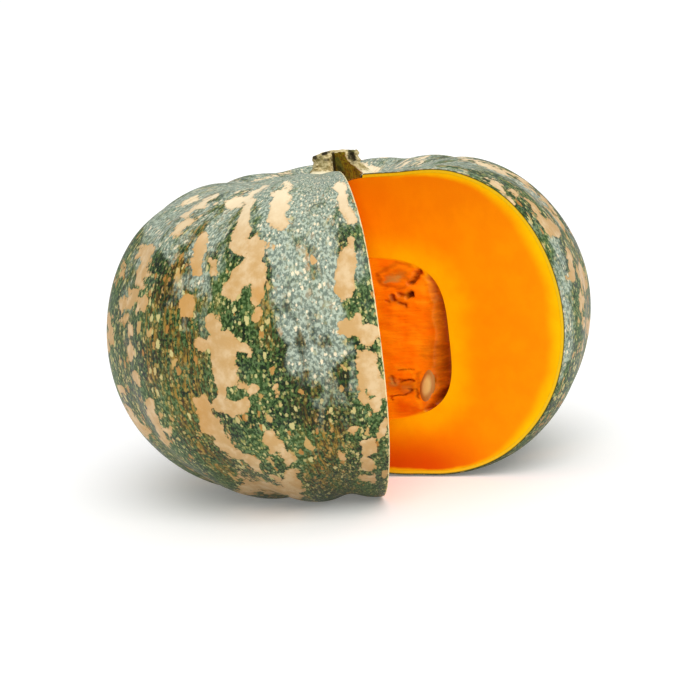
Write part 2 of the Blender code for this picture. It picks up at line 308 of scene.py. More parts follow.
def pixelsOf(points):
    across, upward, forward = (np.array(way) for way in cameraWays())
    away = points - (np.array(camera["from"]) - heart)
    scale = camera["focalPixels"] / (away @ forward)
    x = (away @ across) * scale + (0.5 - camera["shift"][0]) * photoSize
    y = (0.5 + camera["shift"][1]) * photoSize - (away @ upward) * scale
    return x, y


def pixelWay(x, y):
    across, upward, forward = (np.array(way) for way in cameraWays())
    a = x / photoSize - 0.5 + camera["shift"][0]
    b = 0.5 - y / photoSize + camera["shift"][1]
    scale = photoSize / camera["focalPixels"]
    way = forward + across * a * scale + upward * b * scale
    return np.array(camera["from"]) - heart, way / np.linalg.norm(way)


# The point of the skin, about the heart, that a pixel of the photograph shows.
def skinUnderPixel(x, y):
    start, way = pixelWay(x, y)
    steps = np.arange(0.6, 1.15, 0.0005)
    within = insideSkin(start + way * steps[:, None], 0.0)
    if not within.any():
        return None
    return start + way * steps[np.argmax(within)]


# Where a pixel lies on the right-hand cut: out from the tip, and above the heart.
def faceUnderPixel(x, y):
    start, way = pixelWay(x, y)
    inward = faceInward(1)
    reach = (middle - start) @ inward / (way @ inward)
    point = start + way * reach
    return np.array(((point - middle) @ faceWay(1), point[2]))


# A node with its settings, and its inputs set to values or linked to sockets.
def put(tree, kind, inputs=None, **settings):
    node = tree.nodes.new(kind)
    for key, value in settings.items():
        setattr(node, key, value)
    for key, value in (inputs or {}).items():
        socket = node.inputs[key]
        if isinstance(value, bpy.types.NodeSocket):
            tree.links.new(value, socket)
        else:
            socket.default_value = value
    return node


def maths(tree, operation, first, second=0.0, clamp=False):
    node = put(tree, "ShaderNodeMath", {0: first, 1: second}, operation=operation, use_clamp=clamp)
    return node.outputs[0]


def vectorMaths(tree, operation, first, second):
    node = put(tree, "ShaderNodeVectorMath", {0: first, 1: second}, operation=operation)
    return node.outputs[0]


def times(tree, first, second):
    return maths(tree, "MULTIPLY", first, second)


def plus(tree, first, second, clamp=False):
    return maths(tree, "ADD", first, second, clamp)


def minus(tree, first, second, clamp=False):
    return maths(tree, "SUBTRACT", first, second, clamp)


def larger(tree, first, second):
    return maths(tree, "MAXIMUM", first, second)


def noise(tree, place, scale, detail, roughness=0.5):
    return put(tree, "ShaderNodeTexNoise", {
        "Vector": place, "Scale": scale, "Detail": detail, "Roughness": roughness,
    })


def ramp(tree, value, low, high, toLow=0.0, toHigh=1.0, smooth=True):
    kind = "SMOOTHSTEP" if smooth else "LINEAR"
    node = put(
        tree,
        "ShaderNodeMapRange",
        {"Value": value, "From Min": low, "From Max": high, "To Min": toLow, "To Max": toHigh},
        interpolation_type=kind,
    )
    return node.outputs[0]


def mixColour(tree, share, first, second, blend="MIX"):
    node = tree.nodes.new("ShaderNodeMix")
    node.data_type = "RGBA"
    node.blend_type = blend
    for index, value in ((0, share), (6, first), (7, second)):
        socket = node.inputs[index]
        if isinstance(value, bpy.types.NodeSocket):
            tree.links.new(value, socket)
        elif index == 0:
            socket.default_value = value
        else:
            socket.default_value = (*value, 1.0)
    return node.outputs[2]


def attribute(tree, name):
    node = put(tree, "ShaderNodeAttribute", attribute_name=name)
    return node.outputs["Vector"] if name in ("growth", "ball") else node.outputs["Fac"]


def group(name, inputs, outputs):
    tree = bpy.data.node_groups.new(name, "ShaderNodeTree")
    for label, kind, value in inputs:
        socket = tree.interface.new_socket(name=label, in_out="INPUT", socket_type=kind)
        if value is not None:
            socket.default_value = value
    for label, kind in outputs:
        tree.interface.new_socket(name=label, in_out="OUTPUT", socket_type=kind)
    return tree, tree.nodes.new("NodeGroupInput"), tree.nodes.new("NodeGroupOutput")


def use(tree, grouped, **inputs):
    node = tree.nodes.new("ShaderNodeGroup")
    node.node_tree = grouped
    for key, value in inputs.items():
        socket = node.inputs[key]
        if isinstance(value, bpy.types.NodeSocket):
            tree.links.new(value, socket)
        else:
            socket.default_value = value
    return node


# A colour given as 0 to 255 on screen, as the shader's linear light.
def srgb(red, green, blue):
    out = []
    for value in (red, green, blue):
        share = value / 255
        out.append(share / 12.92 if share <= 0.04045 else ((share + 0.055) / 1.055) ** 2.4)
    return tuple(out)


# Soft patches of a given size, from 0 to 1, stretched along the growth where asked.
def makeMottle():
    tree, given, out = group(
        "mottle",
        (("Place", "NodeSocketVector", None), ("Size", "NodeSocketFloat", 0.01),
         ("Stretch", "NodeSocketFloat", 1.0), ("Low", "NodeSocketFloat", 0.4),
         ("High", "NodeSocketFloat", 0.6), ("Detail", "NodeSocketFloat", 3.0),
         ("Shift", "NodeSocketFloat", 0.0)),
        (("Value", "NodeSocketFloat"),),
    )
    place = stretched(tree, given)
    cloud = noise(tree, place, 1.0, given.outputs["Detail"], 0.6)
    value = ramp(tree, cloud.outputs[0], given.outputs["Low"], given.outputs["High"])
    tree.links.new(value, out.inputs["Value"])
    return tree


# The place in units of the pattern's size, pulled out along Y by the stretch, then shifted.
def stretched(tree, given):
    across = maths(tree, "DIVIDE", 1.0, given.outputs["Size"])
    along = maths(tree, "DIVIDE", across, given.outputs["Stretch"])
    scale = put(tree, "ShaderNodeCombineXYZ", {0: across, 1: along, 2: across})
    scaled = vectorMaths(tree, "MULTIPLY", given.outputs["Place"], scale.outputs[0])
    shift = put(tree, "ShaderNodeCombineXYZ", {axis: given.outputs["Shift"] for axis in range(3)})
    return vectorMaths(tree, "ADD", scaled, shift.outputs[0])


# Separate spots, each in its own cell; the share of cells that hold one can be set.
def makeSpeckle():
    tree, given, out = group(
        "speckle",
        (("Place", "NodeSocketVector", None), ("Size", "NodeSocketFloat", 0.003),
         ("Stretch", "NodeSocketFloat", 1.0), ("Radius", "NodeSocketFloat", 0.4),
         ("Share", "NodeSocketFloat", 0.6), ("Soft", "NodeSocketFloat", 0.1),
         ("Rough", "NodeSocketFloat", 0.25), ("Shift", "NodeSocketFloat", 0.0)),
        (("Mask", "NodeSocketFloat"), ("Tone", "NodeSocketFloat")),
    )
    place = stretched(tree, given)
    wobble = noise(tree, place, 2.3, 2.0)
    centred = vectorMaths(tree, "SUBTRACT", wobble.outputs["Color"], (0.5, 0.5, 0.5))
    bent = put(tree, "ShaderNodeVectorMath", {0: centred, "Scale": given.outputs["Rough"]},
               operation="SCALE")
    moved = vectorMaths(tree, "ADD", place, bent.outputs[0])
    cells = put(tree, "ShaderNodeTexVoronoi", {"Vector": moved, "Scale": 1.0, "Randomness": 1.0})
    parts = put(tree, "ShaderNodeSeparateColor", {0: cells.outputs["Color"]})
    kept = maths(tree, "LESS_THAN", parts.outputs[0], given.outputs["Share"])
    # spots differ in size from cell to cell
    size = ramp(tree, parts.outputs[1], 0.0, 1.0, 0.45, 1.15, smooth=False)
    radius = times(tree, size, given.outputs["Radius"])
    inner = minus(tree, radius, given.outputs["Soft"])
    spot = ramp(tree, cells.outputs["Distance"], inner, radius, 1.0, 0.0)
    tree.links.new(times(tree, spot, kept), out.inputs["Mask"])
    tree.links.new(parts.outputs[2], out.inputs["Tone"])
    return tree


mottle = makeMottle()
speckle = makeSpeckle()


def newMaterial(name, roughness, **fixed):
    material = bpy.data.materials.new(name)
    material.use_nodes = True
    tree = material.node_tree
    shader = tree.nodes["Principled BSDF"]
    shader.inputs["Roughness"].default_value = roughness
    for key, value in fixed.items():
        shader.inputs[key].default_value = value
    return material, tree, shader


def bump(tree, shader, height, distance, strength=1.0, normal=None):
    node = put(tree, "ShaderNodeBump", {"Height": height, "Distance": distance, "Strength": strength})
    if normal is not None:
        tree.links.new(normal, node.inputs["Normal"])
    tree.links.new(node.outputs[0], shader.inputs["Normal"])
    return node.outputs[0]


rind = {
    "thickness": 0.0020,
    "rows": 168,
    "columns": 256,
    "underStem": 0.0010,
    "darkGreen": srgb(8, 28, 6),
    "midGreen": srgb(50, 78, 28),
    "tealGreen": srgb(98, 122, 72),
    # the bloom colours serve the wax bloom and a painted sky reflection
    "bloomAndSheen": srgb(190, 202, 182),
    "bloomAndSheenDark": srgb(132, 148, 134),
    "ochre": srgb(168, 128, 44),
    "brown": srgb(72, 48, 6),
    "speck": srgb(150, 152, 78),
    "speckPale": srgb(216, 204, 136),
    "spot": srgb(204, 164, 98),
    "spotWarm": srgb(184, 124, 50),
    "patch": srgb(202, 162, 104),
    "patchWarm": srgb(200, 146, 72),
    "patchPale": srgb(252, 234, 196),
    "edgeOut": srgb(52, 66, 24),
    "edgeIn": srgb(232, 190, 10),
    # painted highlight on the rind's edge along the left-hand cut
    "cutHighlight": srgb(240, 222, 166),
    # the low colour is painted shade near the floor
    "low": srgb(26, 26, 10),
    "growthRadius": 0.115,
    "startHeight": 0.072,
    "fleckSize": 0.0016,
    "broadSize": 0.016,
    "speckSize": 0.00185,
    "spotSize": 0.0040,
    "blotSize": 0.0085,
    "waxSize": 0.010,
    "waxDotSize": 0.0024,
    "branchStray": 0.006,
    "backSeed": 21,
    "waxPixel": (318, 220),
}

# Pale patches of the skin that the photograph shows: from pixel, to pixel, width in pixels
patchStrokes = {
    "topPale": ((280, 197), (279, 216), 20),
    "topPaleLow": ((279, 216), (281, 224), 14),
    "topPaleTail": ((285, 192), (288, 184), 7),
    "leafTop": ((238, 203), (250, 199), 11),
    "leafNeck": ((247, 206), (244, 226), 11),
    "leafUpper": ((243, 230), (240, 248), 17),
    "leafMiddle": ((256, 244), (253, 272), 20),
    "leafLow": ((252, 270), (231, 288), 22),
    "leafTail": ((262, 272), (257, 296), 12),
    "leafSide": ((228, 206), (238, 201), 8),
    "steepCut": ((347, 254), (344, 290), 20),
    "steepCutTop": ((351, 240), (349, 256), 8),
    "edgeTop": ((340, 186), (345, 206), 12),
    "edgeTopLow": ((349, 212), (352, 222), 7),
    "cutBand": ((345, 328), (372, 331), 17),
    "cutBandTop": ((358, 316), (359, 326), 10),
    "cutBandLow": ((366, 334), (367, 342), 12),
    "cutBlock": ((366, 358), (369, 372), 22),
    "cutBlockLow": ((365, 380), (384, 390), 18),
    "cutBlockTail": ((362, 392), (364, 402), 8),
    "cutDot": ((375, 404), (375, 408), 10),
    "crossTop": ((226, 338), (214, 342), 16),
    "crossLeft": ((200, 343), (205, 346), 14),
    "crossMiddle": ((222, 350), (226, 376), 26),
    "crossRight": ((236, 345), (250, 352), 10),
    "crossRightLow": ((238, 384), (252, 390), 9),
    "crossFoot": ((222, 380), (222, 398), 13),
    "crossBase": ((216, 404), (240, 408), 16),
    "crossNeck": ((210, 320), (213, 328), 14),
    "boxLeft": ((187, 299), (188, 312), 13),
    "eyeUpper": ((203, 236), (200, 252), 12),
    "eyeLower": ((197, 262), (199, 272), 11),
    "eyeRight": ((212, 262), (214, 272), 10),
    "slantTop": ((203, 404), (208, 424), 17),
    "slantMiddle": ((212, 424), (226, 446), 17),
    "slantFoot": ((228, 446), (238, 456), 12),
    "lowRight": ((268, 436), (276, 444), 16),
    "lowRightTail": ((280, 446), (290, 460), 10),
    "lowDrop": ((248, 458), (256, 466), 10),
    "lowDropSmall": ((266, 456), (268, 456), 8),
    "sole": ((246, 482), (290, 492), 10),
    "soleRight": ((290, 484), (296, 496), 18),
    "soleLeft": ((238, 478), (258, 488), 5),
    "dropCut": ((365, 446), (367, 466), 12),
    "dropCutTop": ((372, 442), (370, 450), 8),
    "dropEdge": ((385, 420), (382, 434), 9),
    "dropFoot": ((362, 477), (372, 478), 8),
    "sideTall": ((149, 248), (144, 262), 12),
    "sideTallLow": ((143, 262), (140, 284), 11),
    "sideTail": ((135, 292), (131, 306), 9),
    "sideSmall": ((142, 300), (140, 310), 7),
    "sideBar": ((124, 300), (124, 322), 6),
    "sideDotHigh": ((129, 324), (130, 334), 6),
    "sideDot": ((130, 350), (131, 358), 8),
    "sideDotLow": ((136, 374), (137, 382), 8),
    "slantLeft": ((148, 404), (158, 428), 9),
    "slantLeftFoot": ((158, 428), (168, 444), 8),
    "limbLow": ((120, 388), (128, 410), 5),
    "limbFoot": ((128, 412), (146, 434), 7),
    "limbHigh": ((116, 280), (124, 262), 4),
    "limb": ((108, 316), (108, 350), 5),
    "limbBand": ((112, 290), (118, 262), 4),
    "limbBandMiddle": ((118, 262), (132, 238), 4),
    "limbBandTop": ((132, 238), (150, 218), 3),
    "stemFlare": ((358, 166), (376, 170), 6),
    "crownStreak": ((178, 208), (194, 198), 5),
    "crownStreakLow": ((184, 214), (216, 195), 6),
    "crownStreakDrop": ((174, 238), (187, 222), 7),
    "crownStreakFar": ((238, 202), (266, 186), 5),
    "crownBack": ((250, 180), (290, 173), 3),
    "fleckMiddle": ((273, 244), (273, 246), 7),
    "fleckTall": ((311, 254), (312, 260), 5),
    "fleckCross": ((258, 312), (258, 316), 9),
    "fleckRight": ((276, 388), (278, 392), 7),
    "fleckLow": ((354, 430), (354, 432), 7),
    "fleckLower": ((340, 454), (341, 458), 7),
    "rightBand": ((514, 190), (540, 212), 6),
    "rightPatch": ((542, 217), (559, 234), 9),
    "rightOuterBand": ((540, 196), (573, 236), 4),
    "rightUpperDrop": ((569, 250), (573, 264), 5),
    "rightLobe": ((570, 262), (573, 278), 7),
    "rightLobeOuter": ((579, 266), (585, 288), 6),
    "rightLow": ((583, 296), (584, 308), 5),
    "rightLower": ((587, 320), (587, 338), 4),
    "rightFoot": ((582, 344), (579, 360), 4),
    "crownCream": ((462, 156), (508, 173), 5),
    "crownCreamLow": ((486, 178), (514, 198), 4),
    "crownPink": ((505, 170), (534, 190), 4),
    "crownStreakNear": ((404, 164), (430, 156), 2),
    "crownStreakWide": ((396, 170), (418, 160), 2),
}

# Broad areas of another tone, as strokes of the photograph too
ochreStrokes = (
    ((176, 290), (186, 420), 44),
    ((205, 215), (178, 262), 22),
    ((150, 300), (152, 392), 16),
    ((316, 250), (322, 300), 26),
    ((262, 292), (268, 340), 18),
    ((330, 440), (322, 478), 34),
    ((190, 440), (230, 476), 14),
)
darkStrokes = (
    ((300, 320), (312, 410), 46),
    ((164, 262), (168, 300), 22),
    ((282, 300), (284, 340), 20),
    ((188, 276), (184, 320), 10),
    ((340, 388), (345, 420), 26),
)
# Grey areas: wax bloom, and a painted sky reflection along the right-hand side and over the top
greyBloomAndSheenStrokes = (
    ((262, 186), (312, 176), 18),
    ((150, 222), (200, 190), 16),
    ((355, 236), (362, 300), 12, 0.45),
    ((562, 300), (560, 372), 22),
    ((556, 240), (566, 290), 10),
)


# How far off its plane a stroke still reaches, in units of its width, and how fast it ends there
offPlane = {"free": 0.2, "perLength": 0.15, "fall": 2.5}


# 1 on the middle line of a stroke of the photograph, 0 on its outline and below 0 outside it.
def strokeShare(points, fromPixel, toPixel, width, locate=skinUnderPixel):
    along = np.array(toPixel, float) - np.array(fromPixel, float)
    length = np.hypot(*along)
    along = along / length if length > 0.5 else np.array((0.0, 1.0))
    across = np.array((-along[1], along[0]))
    centre = (np.array(fromPixel, float) + np.array(toPixel, float)) / 2
    corners = []
    for way in (along, across):
        ends = [locate(*(centre + way * sign * width / 4)) for sign in (1, -1)]
        if ends[0] is None or ends[1] is None:
            return None
        corners.append(ends[0] - ends[1])
    middlePoint = locate(*centre)
    basis = np.stack(corners, 1)
    offset = points - middlePoint
    near = np.linalg.norm(offset, axis=1) < (length / width + 4) * max(np.linalg.norm(corners, axis=1))
    share = np.full(len(points), -9.0)
    local = offset[near] @ np.linalg.pinv(basis).T
    beyond = np.maximum(np.abs(local[:, 0]) - length / width, 0)
    share[near] = 1 - np.hypot(beyond, local[:, 1])
    if len(middlePoint) == 3:
        # points well off the stroke's plane, such as those round a bend of the skin, aren't in it
        size = max(np.linalg.norm(corners, axis=1))
        normal = np.cross(*corners)
        off = np.abs(offset[near] @ normal) / np.linalg.norm(normal) / size
        allowed = offPlane["free"] + offPlane["perLength"] * length / width
        share[near] -= offPlane["fall"] * np.maximum(off - allowed, 0)
    return share


# How far inside the nearest pale patch each point lies, in millimetres, or below 0 outside.
def strokeField(points):
    field = np.full(len(points), -12.0)
    for name, (fromPixel, toPixel, width) in patchStrokes.items():
        share = strokeShare(points, fromPixel, toPixel, width)
        if share is None:
            print("patch off the skin:", name)
            continue
        field = np.maximum(field, share * width / 2 / pixelsPerMillimetre)
    return np.maximum(field, -12.0)


# A soft area of another tone, from 0 to 1, from broad strokes of the photograph.
def toneField(points, strokes, locate=skinUnderPixel, soft=0.6):
    field = np.zeros(len(points))
    for fromPixel, toPixel, width, *weight in strokes:
        share = strokeShare(points, fromPixel, toPixel, width, locate)
        if share is not None:
            field = np.maximum(field, smoothStep(share, -soft, soft) * (weight[0] if weight else 1.0))
    return field


def distanceToStroke(points, start, end):
    along = end - start
    share = np.clip((points - start) @ along / max(along @ along, 1e-12), 0, 1)
    return np.linalg.norm(points - start - share[:, None] * along, axis=1)


# Patches on the side that the photograph doesn't show, drawn by a seeded rule along the ribs.
def backField(points):
    draw = random.Random(rind["backSeed"])
    field = np.full(len(points), -12.0)
    for number in range(fruit["ribs"]):
        centre = math.degrees(fruit["firstGroove"]) + 30 * (number + 0.5)
        if centre % 360 < 58 or centre % 360 > 235:
            continue
        down = draw.uniform(24, 40)
        while down < 118:
            turn = math.radians(centre + draw.uniform(-9, 9))
            length = draw.uniform(4, 15)
            lean = math.radians(draw.uniform(-5, 5))
            ends = []
            for way, turned in ((down, turn), (down + length, turn + lean)):
                place = np.radians([way]), np.array([turned])
                ends.append((waysFrom(*place) * skinReach(*place))[0])
            half = draw.uniform(2.0, 6.0) * min(1.0, down / 60)
            field = np.maximum(field, half - distanceToStroke(points, *ends) * 1000)
            if draw.random() < 0.6:
                stray = np.array([draw.uniform(-1, 1) for _ in range(3)]) * rind["branchStray"]
                branch = ends[1] + (ends[1] - ends[0]) * 0.2 + stray
                field = np.maximum(field, half * 0.7 - distanceToStroke(points, ends[1], branch) * 1000)
            down += length + draw.uniform(4, 16)
    return field


def rindPlace(row, column, layer):
    turn = sectorTurn(column)
    # the rind starts a little inside the rim of the stem's foot
    rim = stemReach(turn, np.zeros(len(turn))) - rind["underStem"]
    first = np.arctan2(rim, rind["startHeight"])
    down = first + row * (np.pi - first)
    ways = waysFrom(down, turn)
    outer = reachWhile(lambda p: insideSkin(p, 0.0), middle, ways)
    inner = reachWhile(lambda p: insideSkin(p, rind["thickness"]), middle, ways)
    return inner + (outer - inner) * layer[:, None]


# Way round and way down the skin as lengths at the widest part, so patterns narrow at the stem.
def growthCoordinates(points):
    offset = points - middle
    turn = np.arctan2(offset[:, 0], -offset[:, 1]) % (2 * np.pi)
    down = np.arctan2(np.hypot(offset[:, 0], offset[:, 1]), offset[:, 2])
    return np.stack([turn, down, np.zeros(len(points))], 1) * rind["growthRadius"]


def depthUnderSkin(points):
    length, down, turn = wayAndTurn(points)
    reach = skinReach(down, turn)
    depth = (reach - length) / skinSlant(down, turn, reach)
    return np.minimum(depth, points[:, 2] + heart[2])


def makeRindMaterial():
    material, tree, shader = newMaterial("speckledRind", 0.42, **{"Specular IOR Level": 0.22})
    place = attribute(tree, "growth")
    patch = attribute(tree, "patch")
    groove = attribute(tree, "groove")
    depth = attribute(tree, "depth")
    bloomAndSheenShare = attribute(tree, "bloomAndSheen")
    ochre = attribute(tree, "ochre")
    dark = attribute(tree, "dark")
    cutSide = attribute(tree, "cutSide")

    # ground colour: dark and grey greens in small flecks
    fine = use(tree, mottle, Place=place, Size=rind["fleckSize"], Stretch=1.3,
               Low=0.42, High=0.60, Detail=2.0)
    broad = use(tree, mottle, Place=place, Size=rind["broadSize"], Stretch=1.6,
                Low=0.35, High=0.65, Shift=7.0)
    lightness = plus(tree, times(tree, fine.outputs[0], 0.55), times(tree, broad.outputs[0], 0.35))
    lightness = minus(tree, lightness, times(tree, dark, 0.30), clamp=True)
    greenish = mixColour(tree, ramp(tree, lightness, 0.35, 0.9), rind["midGreen"], rind["tealGreen"])
    ground = mixColour(tree, ramp(tree, lightness, 0.0, 0.45), rind["darkGreen"], greenish)

    # ochre and brown streaks that run down the skin, mostly in some broad areas and in the grooves
    streaks = use(tree, mottle, Place=place, Size=0.0017, Stretch=5.0, Low=0.44, High=0.60, Shift=3.0)
    rusty = use(tree, mottle, Place=place, Size=0.014, Stretch=2.2, Low=0.50, High=0.72, Shift=11.0)
    inGrooves = times(tree, ramp(tree, groove, 0.2, 1.0), 0.45)
    warmth = larger(tree, inGrooves, larger(tree, ochre, times(tree, rusty.outputs[0], 0.35)))
    streaked = times(tree, warmth, streaks.outputs[0])
    rust = use(tree, mottle, Place=place, Size=0.0030, Stretch=3.0, Low=0.42, High=0.62, Shift=13.0)
    warmTone = mixColour(tree, rust.outputs[0], rind["brown"], rind["ochre"])
    ground = mixColour(tree, times(tree, streaked, 0.85), ground, warmTone)

    # small pale specks everywhere, larger spots here and there
    small = use(tree, speckle, Place=place, Size=rind["speckSize"], Stretch=1.25, Radius=0.52,
                Share=0.78, Soft=0.22, Rough=0.8)
    toned = mixColour(tree, small.outputs["Tone"], rind["speck"], rind["speckPale"])
    toned = mixColour(tree, times(tree, warmth, 0.8), toned, rind["ochre"])
    strength = minus(tree, 0.80, times(tree, dark, 0.35))
    colour = mixColour(tree, times(tree, small.outputs["Mask"], strength), ground, toned)
    medium = use(tree, speckle, Place=place, Size=rind["spotSize"], Stretch=1.5, Radius=0.40,
                 Share=0.55, Soft=0.12, Rough=0.8, Shift=5.0)
    spotTone = mixColour(tree, medium.outputs["Tone"], rind["spotWarm"], rind["speckPale"])
    colour = mixColour(tree, times(tree, medium.outputs["Mask"], 0.85), colour, spotTone)
    large = use(tree, speckle, Place=place, Size=rind["blotSize"], Stretch=1.7, Radius=0.30,
                Share=0.36, Soft=0.08, Rough=0.9, Shift=9.0)
    colour = mixColour(tree, times(tree, large.outputs["Mask"], 0.9), colour, rind["spot"])

    # grey wax bloom near the stem and over the top of the front, with whitish dots; it is partly a
    # painted sky reflection
    waxy = use(tree, mottle, Place=place, Size=rind["waxSize"], Stretch=1.5,
               Low=0.30, High=0.62, Shift=17.0)
    waxAndSheenShare = plus(tree, times(tree, bloomAndSheenShare, 1.5), minus(tree, waxy.outputs[0], 0.85))
    waxAndSheenShare = times(tree, ramp(tree, waxAndSheenShare, 0.0, 1.1), 0.88)
    grain = ramp(tree, fine.outputs[0], 0.0, 1.0, 0.80, 1.0)
    waxAndSheenTone = mixColour(tree, fine.outputs[0], rind["bloomAndSheenDark"], rind["bloomAndSheen"])
    colour = mixColour(tree, times(tree, waxAndSheenShare, grain), colour, waxAndSheenTone)
    dots = use(tree, speckle, Place=place, Size=rind["waxDotSize"], Stretch=1.4, Radius=0.40,
               Share=0.75, Soft=0.16, Rough=0.6, Shift=23.0)
    dotted = times(tree, dots.outputs["Mask"], ramp(tree, waxAndSheenShare, 0.1, 0.8, 0.0, 0.80))
    colour = mixColour(tree, dotted, colour, rind["patchPale"])

    # the large pale patches, with ragged edges
    ragged = noise(tree, place, 260.0, 3.0, 0.6)
    wandering = times(tree, minus(tree, ragged.outputs[0], 0.5), 5.5)
    lobed = noise(tree, place, 95.0, 1.0)
    wandering = plus(tree, wandering, times(tree, minus(tree, lobed.outputs[0], 0.52), 6.5))
    edge = plus(tree, patch, wandering)
    patchShare = ramp(tree, edge, -0.25, 0.30)
    warm = use(tree, mottle, Place=place, Size=0.009, Low=0.40, High=0.68, Detail=4.0, Shift=31.0)
    pale = mixColour(tree, times(tree, warm.outputs[0], 0.35), rind["patch"], rind["patchPale"])
    pale = mixColour(tree, times(tree, ochre, 0.6), pale, rind["patchWarm"])
    pale = mixColour(tree, attribute(tree, "upper"), pale, rind["patchPale"])
    rimmed = times(tree, ramp(tree, edge, 0.15, 1.1, 1.0, 0.0), 0.30)
    pale = mixColour(tree, rimmed, pale, rind["patchWarm"])
    colour = mixColour(tree, patchShare, colour, pale)

    # painted shade, darker towards the floor
    ownPlace = put(tree, "ShaderNodeTexCoord").outputs["Object"]
    high = put(tree, "ShaderNodeSeparateXYZ", {0: ownPlace}).outputs[2]
    colour = mixColour(tree, ramp(tree, high, 0.0, 0.045, 0.42, 0.0), colour, rind["low"])

    # a painted highlight along the rind's edge at the left-hand cut, and the cut through the rind
    highlightEdge = plus(tree, cutSide, times(tree, minus(tree, ragged.outputs[0], 0.5), 1.6))
    colour = mixColour(tree, ramp(tree, highlightEdge, 0.15, 0.60, 0.9, 0.0), colour, rind["cutHighlight"])
    cut = ramp(tree, depth, 0.00050, 0.00070)
    section = mixColour(tree, ramp(tree, depth, 0.0007, 0.0013), rind["edgeOut"], rind["edgeIn"])
    colour = mixColour(tree, cut, colour, section)
    tree.links.new(colour, shader.inputs["Base Color"])

    rough = ramp(tree, broad.outputs[0], 0.0, 1.0, 0.38, 0.52)
    tree.links.new(rough, shader.inputs["Roughness"])
    relief = plus(tree, times(tree, patchShare, 0.6), times(tree, small.outputs["Mask"], 0.35))
    relief = plus(tree, relief, times(tree, fine.outputs[0], 0.4))
    bump(tree, shader, relief, 0.00015, 0.7)
    return material


def makeRind():
    mesh = latticeSolid("rindSkin", rind["rows"], rind["columns"], 3, rindPlace)
    points = pointsOf(mesh) - heart
    _, down, turn = wayAndTurn(points)
    radius = np.hypot(points[:, 0], points[:, 1])
    fade = smoothStep(radius, fruit["grooveFreeRadius"], fruit["grooveFullRadius"])
    setAttribute(mesh, "growth", growthCoordinates(points))
    setAttribute(mesh, "patch", np.maximum(strokeField(points), backField(points)))
    setAttribute(mesh, "groove", grooveShare(turn) * fade)
    setAttribute(mesh, "depth", depthUnderSkin(points))
    # the wax bloom, partly a painted sky reflection, comes further down in front, beside the cut
    front = wayAndTurn(skinUnderPixel(*rind["waxPixel"])[None])[2]
    bloomAndSheenEnd = 50 + 15 * np.exp(-(angleBetween(turn, front) / 0.35) ** 2)
    bloomAndSheen = 1.0 - smoothStep(np.degrees(down), bloomAndSheenEnd - 32, bloomAndSheenEnd)
    furrows = np.clip(grooveShare(turn), 0, 1) * (1.0 - smoothStep(np.degrees(down), 45, 75)) * 0.75
    # the grey strokes are wax bloom and painted sky reflection
    greyBloomAndSheen = toneField(points, greyBloomAndSheenStrokes, soft=0.9) * 0.9
    setAttribute(mesh, "upper", 1.0 - smoothStep(np.degrees(down), 26, 56))
    setAttribute(mesh, "bloomAndSheen", np.maximum(np.maximum(bloomAndSheen * 0.9, furrows), greyBloomAndSheen))
    setAttribute(mesh, "ochre", toneField(points, ochreStrokes) * (1 - bloomAndSheen))
    setAttribute(mesh, "dark", toneField(points, darkStrokes))
    onLeft = (points[:, :2] - wedge["tip"]) @ faceInward(-1)[:2]
    setAttribute(mesh, "cutSide", np.where(points[:, 0] > -0.004, 20.0, onLeft * 1000))
    return makePiece("rindSkin", mesh, [makeRindMaterial()], ["rind"])


flesh = {
    "rows": 220,
    "columns": 72,
    "layers": 36,
    "underRind": 0.0019,
    "roughness": 0.55,
    "main": srgb(252, 150, 0),
    "halo": srgb(255, 186, 0),
    "deep": srgb(214, 80, 0),
    "rim": srgb(248, 196, 0),
    "rimGreen": srgb(202, 172, 0),
}


def fleshPlace(row, column, layer):
    turn = sectorTurn(column)
    ways = waysFrom(row * np.pi, turn)
    outer = reachWhile(lambda p: insideSkin(p, flesh["underRind"]), middle, ways)
    inner = reachWhile(lambda p: insideCavity(p, 0.0), middle, ways)
    return inner + (outer - inner) * layer[:, None]


# Roughly how far from the cavity's wall each point of the flesh lies.
def cavityDistance(points):
    across = np.hypot(points[:, 0], points[:, 1]) / cavity["radius"]
    rise = np.abs(points[:, 2] - cavity["centre"]) / cavity["halfHeight"]
    power = cavity["squareness"]
    share = (across**power + rise**power) ** (1 / power)
    length = np.linalg.norm(points - np.array((0, 0, cavity["centre"])), axis=1)
    return length * (1 - 1 / np.maximum(share, 1e-3))


